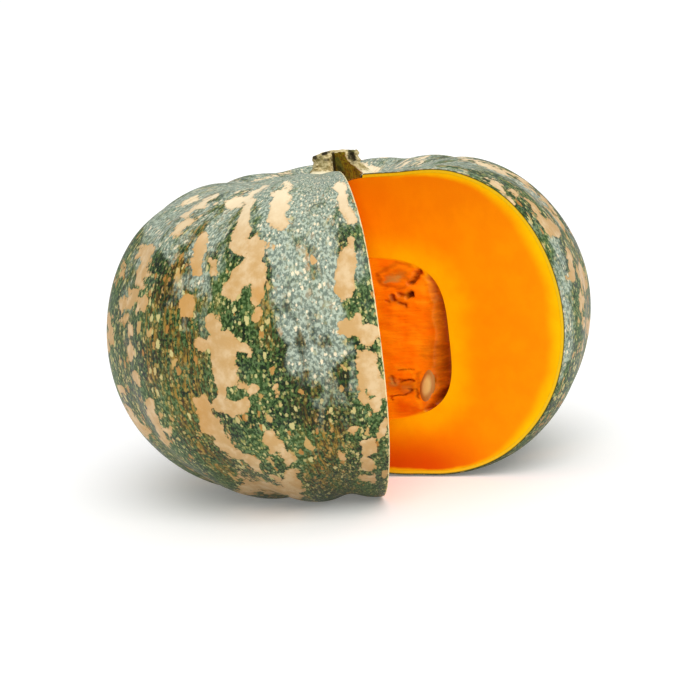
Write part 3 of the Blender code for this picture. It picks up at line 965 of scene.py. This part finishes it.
def makeFleshMaterial():
    material, tree, shader = newMaterial("cutFlesh", flesh["roughness"], **{"Specular IOR Level": 0.04})
    depth = attribute(tree, "depth")
    wall = attribute(tree, "wall")
    along = attribute(tree, "along")
    height = attribute(tree, "height")
    place = put(tree, "ShaderNodeTexCoord").outputs["Object"]

    cloudy = noise(tree, place, 38.0, 3.0)
    shift = ramp(tree, cloudy.outputs[0], 0.25, 0.75, -0.0020, 0.0020)
    nearWall = ramp(tree, plus(tree, wall, shift), 0.000, 0.018, 1.0, 0.0)
    colour = mixColour(tree, nearWall, flesh["main"], flesh["halo"])
    # deeper orange at the core line and low down
    core = ramp(tree, along, 0.002, 0.024, 1.0, 0.0)
    low = ramp(tree, height, -0.040, -0.018, 1.0, 0.0)
    low = times(tree, low, ramp(tree, along, 0.030, 0.075, 1.0, 0.0))
    deep = larger(tree, times(tree, core, 0.68), low)
    deep = larger(tree, deep, ramp(tree, height, 0.055, 0.095, 0.0, 0.32))
    colour = mixColour(tree, deep, colour, flesh["deep"])
    # the rim under the rind is yellow, then greenish
    widest = ramp(tree, along, 0.045, 0.105, 0.0042, 0.0100)
    rim = ramp(tree, plus(tree, depth, times(tree, shift, 0.5)), 0.0022, widest, 1.0, 0.0)
    # but for where it nears the stem
    close = ramp(tree, along, 0.020, 0.050, 1.0, 0.0)
    plain = times(tree, close, ramp(tree, height, 0.040, 0.055))
    rim = times(tree, rim, minus(tree, 1.0, plain))
    colour = mixColour(tree, rim, colour, flesh["rim"])
    green = ramp(tree, depth, 0.0018, 0.0030, 1.0, 0.0)
    colour = mixColour(tree, times(tree, green, 0.25), colour, flesh["rimGreen"])
    patchy = noise(tree, place, 90.0, 5.0, 0.6)
    uneven = ramp(tree, patchy.outputs[0], 0.3, 0.7, 0.0, 0.16)
    colour = mixColour(tree, uneven, colour, flesh["deep"])
    tree.links.new(colour, shader.inputs["Base Color"])

    fine = noise(tree, place, 900.0, 2.0)
    relief = plus(tree, fine.outputs[0], times(tree, patchy.outputs[0], 2.0))
    bump(tree, shader, relief, 0.00012, 0.5)
    return material


# Distance out from the wedge's tip, for points on or near the cut faces.
def faceCoordinates(points):
    offset = points[:, :2] - wedge["tip"]
    return np.hypot(offset[:, 0], offset[:, 1])


def makeFlesh():
    mesh = latticeSolid("fleshWall", flesh["rows"], flesh["columns"], flesh["layers"], fleshPlace)
    points = pointsOf(mesh) - heart
    setAttribute(mesh, "depth", depthUnderSkin(points))
    setAttribute(mesh, "wall", cavityDistance(points))
    setAttribute(mesh, "along", faceCoordinates(points))
    setAttribute(mesh, "height", points[:, 2])
    return makePiece("fleshWall", mesh, [makeFleshMaterial()], ["flesh"])


pulp = {
    "rows": 156,
    "columns": 90,
    "layers": 96,
    "setBack": 0.00015,
    "tornDepth": 0.00030,
    "wallOverlap": 0.0005,
    "leftHollowDepth": 0.0070,
    "leftHollowWidth": 0.0100,
    "leftPits": 9,
    "leftSeed": 44,
    "followTurn": math.radians(26),
    "waver": 0.0006,
    "waverSize": 0.0045,
    "roughness": 0.42,
    "main": srgb(254, 130, 0),
    "light": srgb(255, 160, 12),
    "deep": srgb(214, 78, 0),
    # brown is partly a seed's own colour and partly painted shade
    "brown": srgb(160, 74, 6),
    # painted shade in the pulp's hollows
    "dark": srgb(78, 14, 2),
    "tan": srgb(190, 150, 70),
}

# The right-hand face of the pulp, as strokes of the photograph: from pixel, to pixel, width, depth
pulpHollows = (
    ((419.5, 273.5), (410.5, 283.5), 7, 0.0032),
    ((399, 295), (403, 295), 6, 0.0016),
    ((408, 296), (411, 295), 7, 0.0040),
    ((392, 297), (394, 300), 4, 0.0016),
    ((384, 301), (389, 302), 3, 0.0010),
    ((399, 303), (404, 305), 5, 0.0016),
    ((420, 261), (427, 262), 4, 0.0016),
    ((427, 262), (434, 269), 4.5, 0.0018),
    ((434, 269), (440, 279), 5, 0.0020),
    ((433, 279), (438, 296), 14, 0.0022),
    ((445, 308), (449, 352), 20, 0.0050),
    ((447, 352), (449, 388), 24, 0.0075),
    ((438, 402), (447, 392), 14, 0.0080),
    ((430, 409), (441, 403), 9, 0.0040),
    ((398, 371), (413, 370), 2.5, 0.0010),
    ((400, 380), (413, 382), 3.5, 0.0014),
    ((390, 398), (413, 391), 3, 0.0014),
    ((390, 377), (394, 382), 4, 0.0012),
    ((434, 378), (436, 394), 5, 0.0020),
    ((417, 388), (419, 398), 3, 0.0010),
)
# Painted shade in the hollows and along the cavity's right wall, as strokes: from pixel, to pixel,
# width, strength
pulpHollowShade = (
    ((419.5, 273.5), (410.5, 283.5), 5.5, 0.72),
    ((399, 295), (403, 295), 5, 0.65),
    ((408, 296), (411, 295), 6, 1.0),
    ((392, 297), (394, 300), 4, 0.6),
    ((385, 301), (390, 302), 2.5, 0.45),
    ((399, 303), (404, 305), 4, 0.55),
    ((420, 261), (427, 262), 4, 0.80),
    ((427, 262), (434, 269), 5, 0.75),
    ((434, 269), (440, 279), 4, 0.60),
    ((450, 322), (453, 352), 3.5, 0.50),
    ((453, 352), (454, 392), 6, 0.50),
    ((444, 366), (450, 384), 9, 0.40),
    ((438, 402), (447, 392), 10, 0.80),
    ((430, 409), (441, 403), 6, 0.45),
    ((398, 371), (413, 370), 2, 0.45),
    ((402, 380), (413, 382), 3, 0.50),
    ((409, 391), (413, 391), 3.5, 0.75),
    ((391, 398), (406, 393), 2, 0.50),
    ((390, 377), (394, 381), 4, 0.50),
    ((417, 388), (419, 398), 2.5, 0.50),
)
# Brown of a seed and the pulp, and painted shade round the seed pocket and along the cavity's right
# wall, as strokes: from pixel, to pixel, width, strength
pulpBrownAndShade = (
    ((379, 282), (378, 275), 5, 0.70),
    ((379, 274), (385, 269), 5, 0.55),
    ((385, 268), (397, 264), 5, 0.45),
    ((397, 264), (410, 265), 4, 0.35),
    ((380, 284), (387, 287), 4, 0.65),
    ((388, 287), (404, 287), 4, 0.55),
    ((404, 286), (410, 283), 4, 0.50),
    ((389, 276), (403, 274), 9, 0.50),
    ((400, 280), (408, 279), 5, 0.40),
    ((435, 277), (438, 297), 14, 0.85),
    ((444, 300), (448, 352), 24, 0.90),
    ((442, 352), (448, 400), 30, 0.85),
    ((430, 410), (444, 402), 14, 0.60),
    ((390, 300), (404, 304), 7, 0.45),
    ((392, 384), (410, 388), 13, 0.60),
    ((419, 372), (418, 396), 4, 0.50),
)
pulpTan = (
    ((386, 281), (398, 278), 5.5, 0.85),
    ((392, 277), (402, 275), 6, 0.25),
    ((391, 383), (395, 384), 6, 0.60),
    ((404, 388), (408, 389), 6, 0.40),
)
pulpLight = (
    ((418, 303), (443, 299), 3, 0.75),
    ((424, 277), (423, 292), 6, 0.50),
    ((414, 338), (424, 352), 14, 0.55),
    ((396, 367), (417, 376), 2.5, 0.70),
    ((398, 376), (404, 384), 2.5, 0.60),
    ((414, 378), (416, 392), 3, 0.80),
    ((417, 398), (421, 408), 3.5, 0.70),
    ((386, 334), (398, 340), 10, 0.35),
)
pulpDeep = (
    ((383, 306), (384, 324), 12, 0.45),
    ((384, 348), (388, 372), 10, 0.30),
    ((396, 408), (430, 413), 12, 0.65),
    ((426, 314), (430, 330), 9, 0.35),
)

# 1 in the middle of a long round hollow, 0 outside it.
def bowl(along, height, spot):
    centreAlong, centreHeight, halfLength, halfWidth, lean, _ = spot
    a, b = along - centreAlong, height - centreHeight
    length = a * math.cos(lean) + b * math.sin(lean)
    width = -a * math.sin(lean) + b * math.cos(lean)
    return np.exp(-((length / halfLength) ** 4 + (width / halfWidth) ** 2))


# Gentle unevenness that is the same each run.
def ripple(along, height, seed, size, count=9):
    draw = random.Random(seed)
    total = np.zeros_like(along)
    for _ in range(count):
        way = draw.uniform(0, math.pi)
        wave = size * draw.uniform(0.6, 1.7)
        phase = draw.uniform(0, math.tau)
        distance = along * math.cos(way) * 0.6 + height * math.sin(way) * 1.4
        total += np.sin(distance * math.tau / wave + phase)
    return total / math.sqrt(count)


# Distance from the cavity's wall on a cut face, measured level.
def pulpWall(along, height):
    rise = np.abs(height - cavity["centre"]) / cavity["halfHeight"]
    power = cavity["squareness"]
    reach = cavity["radius"] * np.maximum(1 - rise**power, 0) ** (1 / power)
    tip = np.hypot(*wedge["tip"])
    return reach - (along + tip * math.cos(wedge["halfAngle"]) * 0.8)


# Places on the pulp's face, pushed about a little so that nothing on it has a straight edge.
def wavering(along, height):
    return np.stack([
        along + pulp["waver"] * ripple(along, height, 71, pulp["waverSize"]),
        height + pulp["waver"] * ripple(along, height, 72, pulp["waverSize"]),
    ], 1)


# How far the pulp's torn face lies behind the cut.
def pulpDepth(along, height, side):
    wall = pulpWall(along, height)
    depth = pulp["tornDepth"] * (1 + ripple(along, height, 5 + side, 0.012))
    depth = depth * smoothStep(wall, 0.0, 0.008)
    if side > 0:
        places = wavering(along, height)
        for fromPixel, toPixel, width, deep in pulpHollows:
            share = strokeShare(places, fromPixel, toPixel, width, faceUnderPixel)
            depth = np.maximum(depth, deep * smoothStep(share, -0.35, 0.75))
        depth += 0.00012 * ripple(along, height, 15, 0.0045) * smoothStep(depth, 0.0, 0.0004)
    else:
        width = pulp["leftHollowWidth"]
        depth += pulp["leftHollowDepth"] * smoothStep(width - wall, 0.0, width)
        depth += 0.00025 * ripple(along, height, 14, 0.0050)
        draw = random.Random(pulp["leftSeed"])
        for _ in range(pulp["leftPits"]):
            spot = (draw.uniform(0.012, 0.042), draw.uniform(-0.008, 0.050), draw.uniform(0.002, 0.006),
                    draw.uniform(0.0008, 0.0022), draw.uniform(-0.6, 0.8), draw.uniform(0.002, 0.005))
            depth += spot[-1] * bowl(along, height, spot)
    return np.maximum(depth, 0.0) * smoothStep(along, 0.0, 0.004)


def pulpPlace(row, column, layer):
    turn = sectorTurn(column)
    setBack = np.array((0.0, pulp["setBack"] / math.sin(wedge["halfAngle"]), 0.0))
    start = middle + setBack
    ways = waysFrom(row * np.pi, turn)
    outer = reachWhile(lambda p: insideCavity(p, -pulp["wallOverlap"]), start, ways)
    base = start + (outer - start) * layer[:, None]
    along = faceCoordinates(base - setBack)
    moved = base.copy()
    for side, share in ((1, column), (-1, 1 - column)):
        turned = share * (2 * np.pi - 2 * wedge["halfAngle"])
        follow = np.clip(1 - turned / pulp["followTurn"], 0, 1)
        near = follow > 0
        depth = pulpDepth(along[near], base[near, 2], side)
        moved[near] += faceInward(side) * (depth * follow[near])[:, None]
    return moved


def makePulpMaterial():
    material, tree, shader = newMaterial(
        "stringyPulp", pulp["roughness"], **{"Specular IOR Level": 0.12}
    )
    along = attribute(tree, "along")
    height = attribute(tree, "height")
    place = put(tree, "ShaderNodeCombineXYZ", {0: height, 1: along}).outputs[0]

    strings = use(tree, mottle, Place=place, Size=0.0011, Stretch=8.0, Low=0.42, High=0.66)
    clouds = use(tree, mottle, Place=place, Size=0.008, Stretch=1.6, Low=0.36, High=0.66, Shift=4.0)
    colour = mixColour(tree, times(tree, clouds.outputs[0], 0.45), pulp["main"], pulp["light"])
    for name, tone in (("deepened", "deep"), ("lightened", "light")):
        colour = mixColour(tree, attribute(tree, name), colour, pulp[tone])
    merged = attribute(tree, "merged")
    stringy = times(tree, strings.outputs[0], minus(tree, 1.0, merged))
    colour = mixColour(tree, times(tree, stringy, 0.14), colour, pulp["deep"])
    colour = mixColour(tree, attribute(tree, "cored"), colour, flesh["main"])
    colour = mixColour(tree, merged, colour, flesh["halo"])
    blotch = use(tree, mottle, Place=place, Size=0.0022, Stretch=2.0, Low=0.30, High=0.60, Shift=8.0)
    uneven = ramp(tree, blotch.outputs[0], 0.0, 1.0, 0.70, 1.0)
    # brown and dark here are mostly painted shade in the hollows and along the cavity's wall; tan is the
    # seeds' own colour
    for name, tone in (("brownedAndShaded", "brown"), ("tanned", "tan"), ("hollowShade", "dark")):
        colour = mixColour(tree, times(tree, attribute(tree, name), uneven), colour, pulp[tone])
    tree.links.new(colour, shader.inputs["Base Color"])
    relief = plus(tree, stringy, times(tree, clouds.outputs[0], 0.7))
    bump(tree, shader, relief, 0.00015, 0.6)
    return material


def makePulp():
    mesh = latticeSolid("pulp", pulp["rows"], pulp["columns"], pulp["layers"], pulpPlace)
    points = pointsOf(mesh) - heart
    offset = points[:, :2] - wedge["tip"]
    along = np.where(offset[:, 0] > 0, offset @ faceWay(1)[:2], offset @ faceWay(-1)[:2])
    height = points[:, 2]
    places = wavering(along, height)
    onRight = offset[:, 0] > 0
    depth = np.where(onRight, offset @ faceInward(1)[:2], offset @ faceInward(-1)[:2])
    wall = np.maximum(pulpWall(along, height), 0)
    hollow = smoothStep(depth, 0.0010, 0.0065)
    merged = (1 - smoothStep(wall, 0.0, 0.006)) * (1 - smoothStep(depth, 0.0008, 0.0020))
    coreEnd = faceUnderPixel(374, 300)[0]
    tones = {
        # dark and brown are painted shade: in the hollows and by the wall on the right, deeper into the
        # hollow on the left
        "hollowShade": np.where(onRight, toneField(places, pulpHollowShade, faceUnderPixel, 0.7), 0.7 * hollow),
        "brownedAndShaded": np.where(onRight, toneField(places, pulpBrownAndShade, faceUnderPixel, 0.8), 0.8 * hollow),
        "tanned": np.where(onRight, toneField(places, pulpTan, faceUnderPixel, 0.7), 0.0),
        "lightened": np.where(onRight, toneField(places, pulpLight, faceUnderPixel, 0.6), 0.0),
        "deepened": np.where(onRight, toneField(places, pulpDeep, faceUnderPixel, 0.9), 0.3),
        "merged": merged,
        "cored": 0.8 * (1 - smoothStep(along, coreEnd, coreEnd + 0.008)),
        "along": along,
        "height": height,
    }
    for name, values in tones.items():
        setAttribute(mesh, name, values)
    return makePiece("pulp", mesh, [makePulpMaterial()], ["seed_pulp"], sharp=80)


stem = {
    "centre": np.array((0.0033, -0.0031)),
    "top": 0.1080,
    "ribs": 5,
    "firstRib": math.radians(-96.7),
    "otherRibs": 0.7,
    # share of the height, mean radius, rib height
    "levels": (
        (0.00, 0.0165, 0.0036), (0.07, 0.0158, 0.0036), (0.20, 0.0139, 0.0036), (0.38, 0.0117, 0.0032),
        (0.60, 0.0103, 0.0022), (0.82, 0.0099, 0.0018), (0.95, 0.0101, 0.0018), (1.00, 0.0095, 0.0018),
    ),
    "plugShare": 0.06,
    "plugShrink": 0.0014,
    "knobHeight": 0.00045,
    "rows": 90,
    "columns": 190,
    "layers": 30,
    "roughness": 0.85,
    "foot": srgb(252, 240, 204),
    "cream": srgb(226, 208, 158),
    "cork": srgb(160, 142, 92),
    "dark": srgb(40, 34, 14),
    "green": srgb(72, 78, 26),
    "section": srgb(132, 112, 14),
    "sectionBrown": srgb(104, 66, 10),
    "sectionDark": srgb(44, 34, 6),
}

# Dark scars and pits of the stem, on the photograph: from pixel, to pixel, width, strength
stemScars = (
    ((314, 156), (315, 158), 4, 0.9),
    ((323, 154), (326, 153), 3.5, 1.0),
    ((327, 152), (329, 152), 2.5, 0.8),
    ((325, 160), (328, 160), 2.5, 0.7),
    ((332, 158), (333, 163), 3, 0.5),
    ((350, 152), (350, 156), 4, 0.8),
    ((352, 154), (354, 159), 5, 1.0),
    ((349, 158), (356, 160), 2.5, 0.8),
    ((333, 153), (334.6, 170), 2.4, 0.9),
    ((338, 168), (343, 175), 4, 0.5),
    ((352, 162), (356, 163), 3, 0.4),
)
stemGreen = (
    ((337, 160), (341, 169), 6, 0.7),
    ((350, 150), (353, 151), 5, 0.8),
    ((320, 159), (324, 165), 9, 0.35),
    ((343, 172), (348, 180), 6, 0.4),
)


# Height of the skin over points near the axis.
def topHeight(points):
    radius = np.hypot(points[:, 0], points[:, 1])
    turn = np.arctan2(points[:, 0], -points[:, 1])
    down = np.zeros(len(points))
    for _ in range(14):
        down = np.arctan2(radius, skinReach(down, turn) * np.cos(down))
    return skinReach(down, turn) * np.cos(down)


def stemOutline(level, angle):
    shares = [row[0] for row in stem["levels"]]
    radius = np.interp(level, shares, [row[1] for row in stem["levels"]])
    ribHeight = np.interp(level, shares, [row[2] for row in stem["levels"]])
    off = angleBetween(angle, stem["firstRib"])
    weight = stem["otherRibs"] + (1 - stem["otherRibs"]) * (off < np.pi / stem["ribs"])
    return radius + ribHeight * np.cos(stem["ribs"] * off) * weight


# How far the stem reaches from the wedge's tip at these turns.
def stemReach(turn, level):
    way = np.stack([np.sin(turn), -np.cos(turn)], 1)
    low, high = np.zeros(len(turn)), np.full(len(turn), 0.06)
    for _ in range(24):
        half = (low + high) / 2
        offset = wedge["tip"] + way * half[:, None] - stem["centre"]
        outline = stemOutline(level, np.arctan2(offset[:, 1], offset[:, 0]))
        within = np.hypot(offset[:, 0], offset[:, 1]) < outline
        low, high = np.where(within, half, low), np.where(within, high, half)
    return low


def stemPlace(row, column, layer):
    turn = sectorTurn(column)
    way = np.stack([np.sin(turn), -np.cos(turn)], 1)
    plug = stem["plugShare"]
    level = np.clip((row - plug) / (1 - plug), 0, 1)
    reach = stemReach(turn, level)
    # corky knobs on the bark, and a plug that goes down through the rind to the flesh
    knobs = ripple(turn * 0.012, level * 0.016, 61, 0.0042, 14)
    ends = smoothStep(level, 0.1, 0.4) * smoothStep(1 - level, 0.0, 0.1)
    reach = reach + stem["knobHeight"] * knobs * ends
    reach = reach - stem["plugShrink"] * (row < plug * 0.9)
    flat = wedge["tip"] + way * (reach * layer)[:, None]
    skin = topHeight(flat)
    across = (flat - stem["centre"]) @ np.array(cameraWays()[0])[:2]
    worn = 0.0014 * smoothStep(-across, 0.0035, 0.0110) + 0.0005 * smoothStep(across, 0.0040, 0.0090)
    worn += 0.00022 * np.maximum(1 + ripple(flat[:, 0], flat[:, 1], 67, 0.0040), 0)
    height = (skin + 0.0003) * (1 - level) + (stem["top"] - worn) * level
    height = np.where(row < plug, skin - rind["thickness"] + 0.0023 * row / plug, height)
    return np.stack([flat[:, 0], flat[:, 1], height], 1)


# Strokes seen from the camera, laid on the side of the stem that faces it.
def seenStrokes(points, strokes):
    x, y = pixelsOf(points)
    places = np.stack([x, y], 1)
    field = np.zeros(len(points))
    for fromPixel, toPixel, width, strength in strokes:
        far = distanceToStroke(places, np.array(fromPixel, float), np.array(toPixel, float))
        field = np.maximum(field, strength * smoothStep(width / 2 - far, -0.8, 0.8))
    centre = np.array((*stem["centre"], 0.1))
    facing = (points - centre) @ np.array(cameraWays()[2])
    return field * (facing < 0.004)


def makeStemMaterial():
    material, tree, shader = newMaterial("corkyStem", stem["roughness"], **{"Specular IOR Level": 0.15})
    inner = attribute(tree, "inner")
    level = attribute(tree, "level")
    place = put(tree, "ShaderNodeTexCoord").outputs["Object"]
    cork = noise(tree, place, 420.0, 5.0, 0.65)
    corked = ramp(tree, cork.outputs[0], 0.42, 0.60)
    colour = mixColour(tree, corked, stem["cream"], stem["cork"])
    nearFoot = ramp(tree, level, 0.10, 0.42, 1.0, 0.0)
    pale = minus(tree, nearFoot, times(tree, corked, 0.25), clamp=True)
    colour = mixColour(tree, pale, colour, stem["foot"])
    grain = put(tree, "ShaderNodeCombineXYZ", {0: attribute(tree, "across"), 1: level})
    streaks = noise(tree, grain.outputs[0], 9.0, 4.0)
    streaked = ramp(tree, streaks.outputs[0], 0.42, 0.62)
    section = mixColour(tree, streaked, stem["section"], stem["sectionBrown"])
    pitted = ramp(tree, cork.outputs[0], 0.45, 0.62, 0.0, 0.5)
    section = mixColour(tree, pitted, section, stem["sectionDark"])
    colour = mixColour(tree, inner, colour, section)
    colour = mixColour(tree, attribute(tree, "green"), colour, stem["green"])
    colour = mixColour(tree, attribute(tree, "scar"), colour, stem["dark"])
    tree.links.new(colour, shader.inputs["Base Color"])
    relief = minus(tree, cork.outputs[0], times(tree, attribute(tree, "scar"), 0.6))
    bump(tree, shader, relief, 0.0010, 0.7)
    return material


def makeStem():
    mesh = latticeSolid("stemStub", stem["rows"], stem["columns"], stem["layers"], stemPlace)
    points = pointsOf(mesh) - heart
    offset = points[:, :2] - wedge["tip"]
    right = np.abs(offset @ faceInward(1)[:2])
    left = np.abs(offset @ faceInward(-1)[:2])
    onFace = np.minimum(right, left)
    away = points[:, :2] - stem["centre"]
    skin = topHeight(points)
    level = np.clip((points[:, 2] - skin) / (stem["top"] - skin), 0, 1)
    outline = stemOutline(level, np.arctan2(away[:, 1], away[:, 0]))
    under = outline - np.hypot(away[:, 0], away[:, 1])
    inner = (onFace < 0.00005) * smoothStep(under, 0.0001, 0.0006)
    setAttribute(mesh, "inner", inner)
    setAttribute(mesh, "level", level)
    setAttribute(mesh, "across", np.hypot(offset[:, 0], offset[:, 1]) / 0.004)
    setAttribute(mesh, "scar", seenStrokes(points, stemScars))
    setAttribute(mesh, "green", seenStrokes(points, stemGreen))
    return makePiece("stemStub", mesh, [makeStemMaterial()], ["stem"])


seeds = {
    "length": 0.0165,
    "width": 0.0074,
    "thickness": 0.0032,
    "taper": 0.35,
    # on the right: out from the tip, above the heart, lean outwards at the top, how far behind the cut
    "right": ((0.0352, -0.0017, math.radians(17), 0.0008),),
    "leftRows": 4,
    "leftColumns": 2,
    "leftStart": (0.012, -0.003),
    "leftSpacing": (0.0175, 0.0155),
    "leftBehind": 0.0012,
    "seed": 11,
    "coat": srgb(224, 198, 122),
    "rim": srgb(164, 98, 20),
}


def nodeTree(name, inputs):
    tree = bpy.data.node_groups.new(name, "GeometryNodeTree")
    tree.interface.new_socket(name="Geometry", in_out="INPUT", socket_type="NodeSocketGeometry")
    for label, kind in inputs:
        tree.interface.new_socket(name=label, in_out="INPUT", socket_type=kind)
    tree.interface.new_socket(name="Geometry", in_out="OUTPUT", socket_type="NodeSocketGeometry")
    return tree, tree.nodes.new("NodeGroupInput"), tree.nodes.new("NodeGroupOutput")


# A seed is a ball drawn out flat, narrower towards its tip; one is laid on every point.
def seedTree():
    tree, given, out = nodeTree("laySeeds", (
        ("Length", "NodeSocketFloat"), ("Width", "NodeSocketFloat"), ("Thickness", "NodeSocketFloat"),
        ("Taper", "NodeSocketFloat"), ("Material", "NodeSocketMaterial"),
    ))
    ball = put(tree, "GeometryNodeMeshUVSphere", {"Segments": 24, "Rings": 14, "Radius": 0.5})
    place = tree.nodes.new("GeometryNodeInputPosition")
    parts = put(tree, "ShaderNodeSeparateXYZ", {0: place.outputs[0]})
    towardsTip = larger(tree, parts.outputs[2], 0.0)
    narrow = minus(tree, 1.0, times(tree, towardsTip, given.outputs["Taper"]))
    across = times(tree, times(tree, parts.outputs[0], given.outputs["Width"]), narrow)
    # the rim is thinner than the middle, like a real seed's edge
    fromMiddle = maths(tree, "ABSOLUTE", times(tree, parts.outputs[0], 2.0))
    edge = maths(tree, "POWER", fromMiddle, 4.0)
    thin = minus(tree, 1.0, times(tree, edge, 0.35))
    thick = times(tree, times(tree, parts.outputs[1], given.outputs["Thickness"]), thin)
    along = times(tree, parts.outputs[2], given.outputs["Length"])
    shaped = put(tree, "ShaderNodeCombineXYZ", {0: across, 1: thick, 2: along})
    keep = put(tree, "GeometryNodeStoreNamedAttribute",
               {"Geometry": ball.outputs["Mesh"], "Name": "ball", "Value": place.outputs[0]},
               data_type="FLOAT_VECTOR")
    seed = put(tree, "GeometryNodeSetPosition",
               {"Geometry": keep.outputs[0], "Position": shaped.outputs[0]})
    lean = put(tree, "GeometryNodeInputNamedAttribute", {"Name": "leaning"}, data_type="FLOAT_VECTOR")
    laid = put(tree, "GeometryNodeInstanceOnPoints", {"Instance": seed.outputs[0]})
    points = put(tree, "GeometryNodeMeshToPoints", {"Mesh": given.outputs["Geometry"]})
    tree.links.new(points.outputs[0], laid.inputs["Points"])
    tree.links.new(lean.outputs[0], laid.inputs["Rotation"])
    real = put(tree, "GeometryNodeRealizeInstances", {"Geometry": laid.outputs[0]})
    dressed = put(tree, "GeometryNodeSetMaterial",
                  {"Geometry": real.outputs[0], "Material": given.outputs["Material"]})
    tree.links.new(dressed.outputs[0], out.inputs[0])
    return tree


# Runs a tree on a mesh and returns the plain mesh that comes out.
def grow(name, mesh, tree, values):
    thing = bpy.data.objects.new(name + "Source", mesh)
    bpy.context.scene.collection.objects.link(thing)
    modifier = thing.modifiers.new(tree.name, "NODES")
    modifier.node_group = tree
    for item in tree.interface.items_tree:
        if item.in_out == "INPUT" and item.name in values:
            modifier[item.identifier] = values[item.name]
    bpy.context.view_layer.update()
    evaluated = thing.evaluated_get(bpy.context.evaluated_depsgraph_get())
    result = bpy.data.meshes.new_from_object(evaluated)
    thing.modifiers.clear()
    bpy.data.objects.remove(thing, do_unlink=True)
    return result


def leftSeedPlaces():
    draw = random.Random(seeds["seed"])
    places = []
    for row in range(seeds["leftRows"]):
        for column in range(seeds["leftColumns"]):
            along = seeds["leftStart"][0] + seeds["leftSpacing"][0] * (column + 0.25 * (row % 2))
            along += draw.uniform(-0.001, 0.001)
            height = seeds["leftStart"][1] + seeds["leftSpacing"][1] * row
            height += draw.uniform(-0.0015, 0.0015)
            lean = math.pi / 2 + draw.uniform(-0.35, 0.35)
            places.append((along, height, lean, seeds["leftBehind"]))
    return places


def makeSeedMaterial():
    material, tree, shader = newMaterial("seedCoat", 0.38, **{"Specular IOR Level": 0.35})
    place = attribute(tree, "ball")
    parts = put(tree, "ShaderNodeSeparateXYZ", {0: place})
    out = put(tree, "ShaderNodeCombineXYZ", {0: parts.outputs[0], 1: parts.outputs[2]})
    reach = put(tree, "ShaderNodeVectorMath", {0: out.outputs[0]}, operation="LENGTH")
    rimmed = ramp(tree, reach.outputs["Value"], 0.16, 0.42)
    grain = noise(tree, place, 14.0, 3.0)
    rimmed = plus(tree, rimmed, times(tree, grain.outputs[0], 0.25), clamp=True)
    colour = mixColour(tree, times(tree, rimmed, 0.85), seeds["coat"], seeds["rim"])
    tree.links.new(colour, shader.inputs["Base Color"])
    bump(tree, shader, grain.outputs[0], 0.0002, 0.5)
    return material


def makeSeeds():
    vertices, leanings = [], []
    laid = [(1, *spot) for spot in seeds["right"]] + [(-1, *spot) for spot in leftSeedPlaces()]
    for side, along, height, lean, behind in laid:
        place = middle + faceWay(side) * along + faceInward(side) * behind
        place[2] = height
        upright = Matrix.Rotation(lean * side, 3, Vector(faceInward(1) if side > 0 else faceInward(-1)))
        way = upright @ Vector((0, 0, 1))
        width = upright @ Vector(faceWay(side))
        frameWays = Matrix((width, way.cross(width), way)).transposed()
        vertices.append(tuple(place + heart))
        leanings.append(tuple(frameWays.to_euler()))
    mesh = bpy.data.meshes.new("seedPoints")
    mesh.from_pydata(vertices, [], [])
    setAttribute(mesh, "leaning", np.array(leanings))
    grown = grow("seeds", mesh, seedTree(), {
        "Length": seeds["length"], "Width": seeds["width"], "Thickness": seeds["thickness"],
        "Taper": seeds["taper"], "Material": makeSeedMaterial(),
    })
    return makePiece("seeds", closedMesh(grown), [], sharp=70)


studio = {
    "ambient": 0.50,
    "floorRadius": 9.0,
    # name, way to the light, how soft in degrees, strength
    "suns": (
        ("key", (-0.27, -0.70, 0.76), 50.0, 1.75),
        ("top", (0.15, 0.10, 1.0), 70.0, 0.55),
    ),
}


def makeFloor():
    shape = bmesh.new()
    bmesh.ops.create_circle(shape, cap_ends=True, radius=studio["floorRadius"], segments=64)
    mesh = bpy.data.meshes.new("floor")
    shape.to_mesh(mesh)
    shape.free()
    floor = bpy.data.objects.new("floor", mesh)
    bpy.context.scene.collection.objects.link(floor)
    material, _, shader = newMaterial("paleFloor", 0.9)
    shader.inputs["Base Color"].default_value = (0.95, 0.95, 0.95, 1.0)
    shader.inputs["Emission Color"].default_value = (1.0, 0.99, 0.97, 1.0)
    shader.inputs["Emission Strength"].default_value = 0.16
    shader.inputs["Specular IOR Level"].default_value = 0.1
    mesh.materials.append(material)


def makeLights():
    world = bpy.data.worlds.new("studio")
    bpy.context.scene.world = world
    world.use_nodes = True
    tree = world.node_tree
    ground = tree.nodes["Background"]
    ground.inputs["Color"].default_value = (1.0, 1.0, 1.0, 1.0)
    # the backdrop is white, but lights the fruit less than it shows
    seen = tree.nodes.new("ShaderNodeLightPath").outputs["Is Camera Ray"]
    strength = ramp(tree, seen, 0.0, 1.0, studio["ambient"], 1.05, smooth=False)
    tree.links.new(strength, ground.inputs["Strength"])
    for name, toLight, softness, power in studio["suns"]:
        data = bpy.data.lights.new(name, "SUN")
        data.angle = math.radians(softness)
        data.energy = power
        lamp = bpy.data.objects.new(name, data)
        lamp.rotation_euler = Vector(toLight).to_track_quat("Z", "Y").to_euler()
        bpy.context.scene.collection.objects.link(lamp)
    bpy.context.scene.view_settings.view_transform = "Standard"


makeCamera()
makeFloor()
makeLights()
makeRind()
makeFlesh()
makePulp()
makeStem()
makeSeeds()
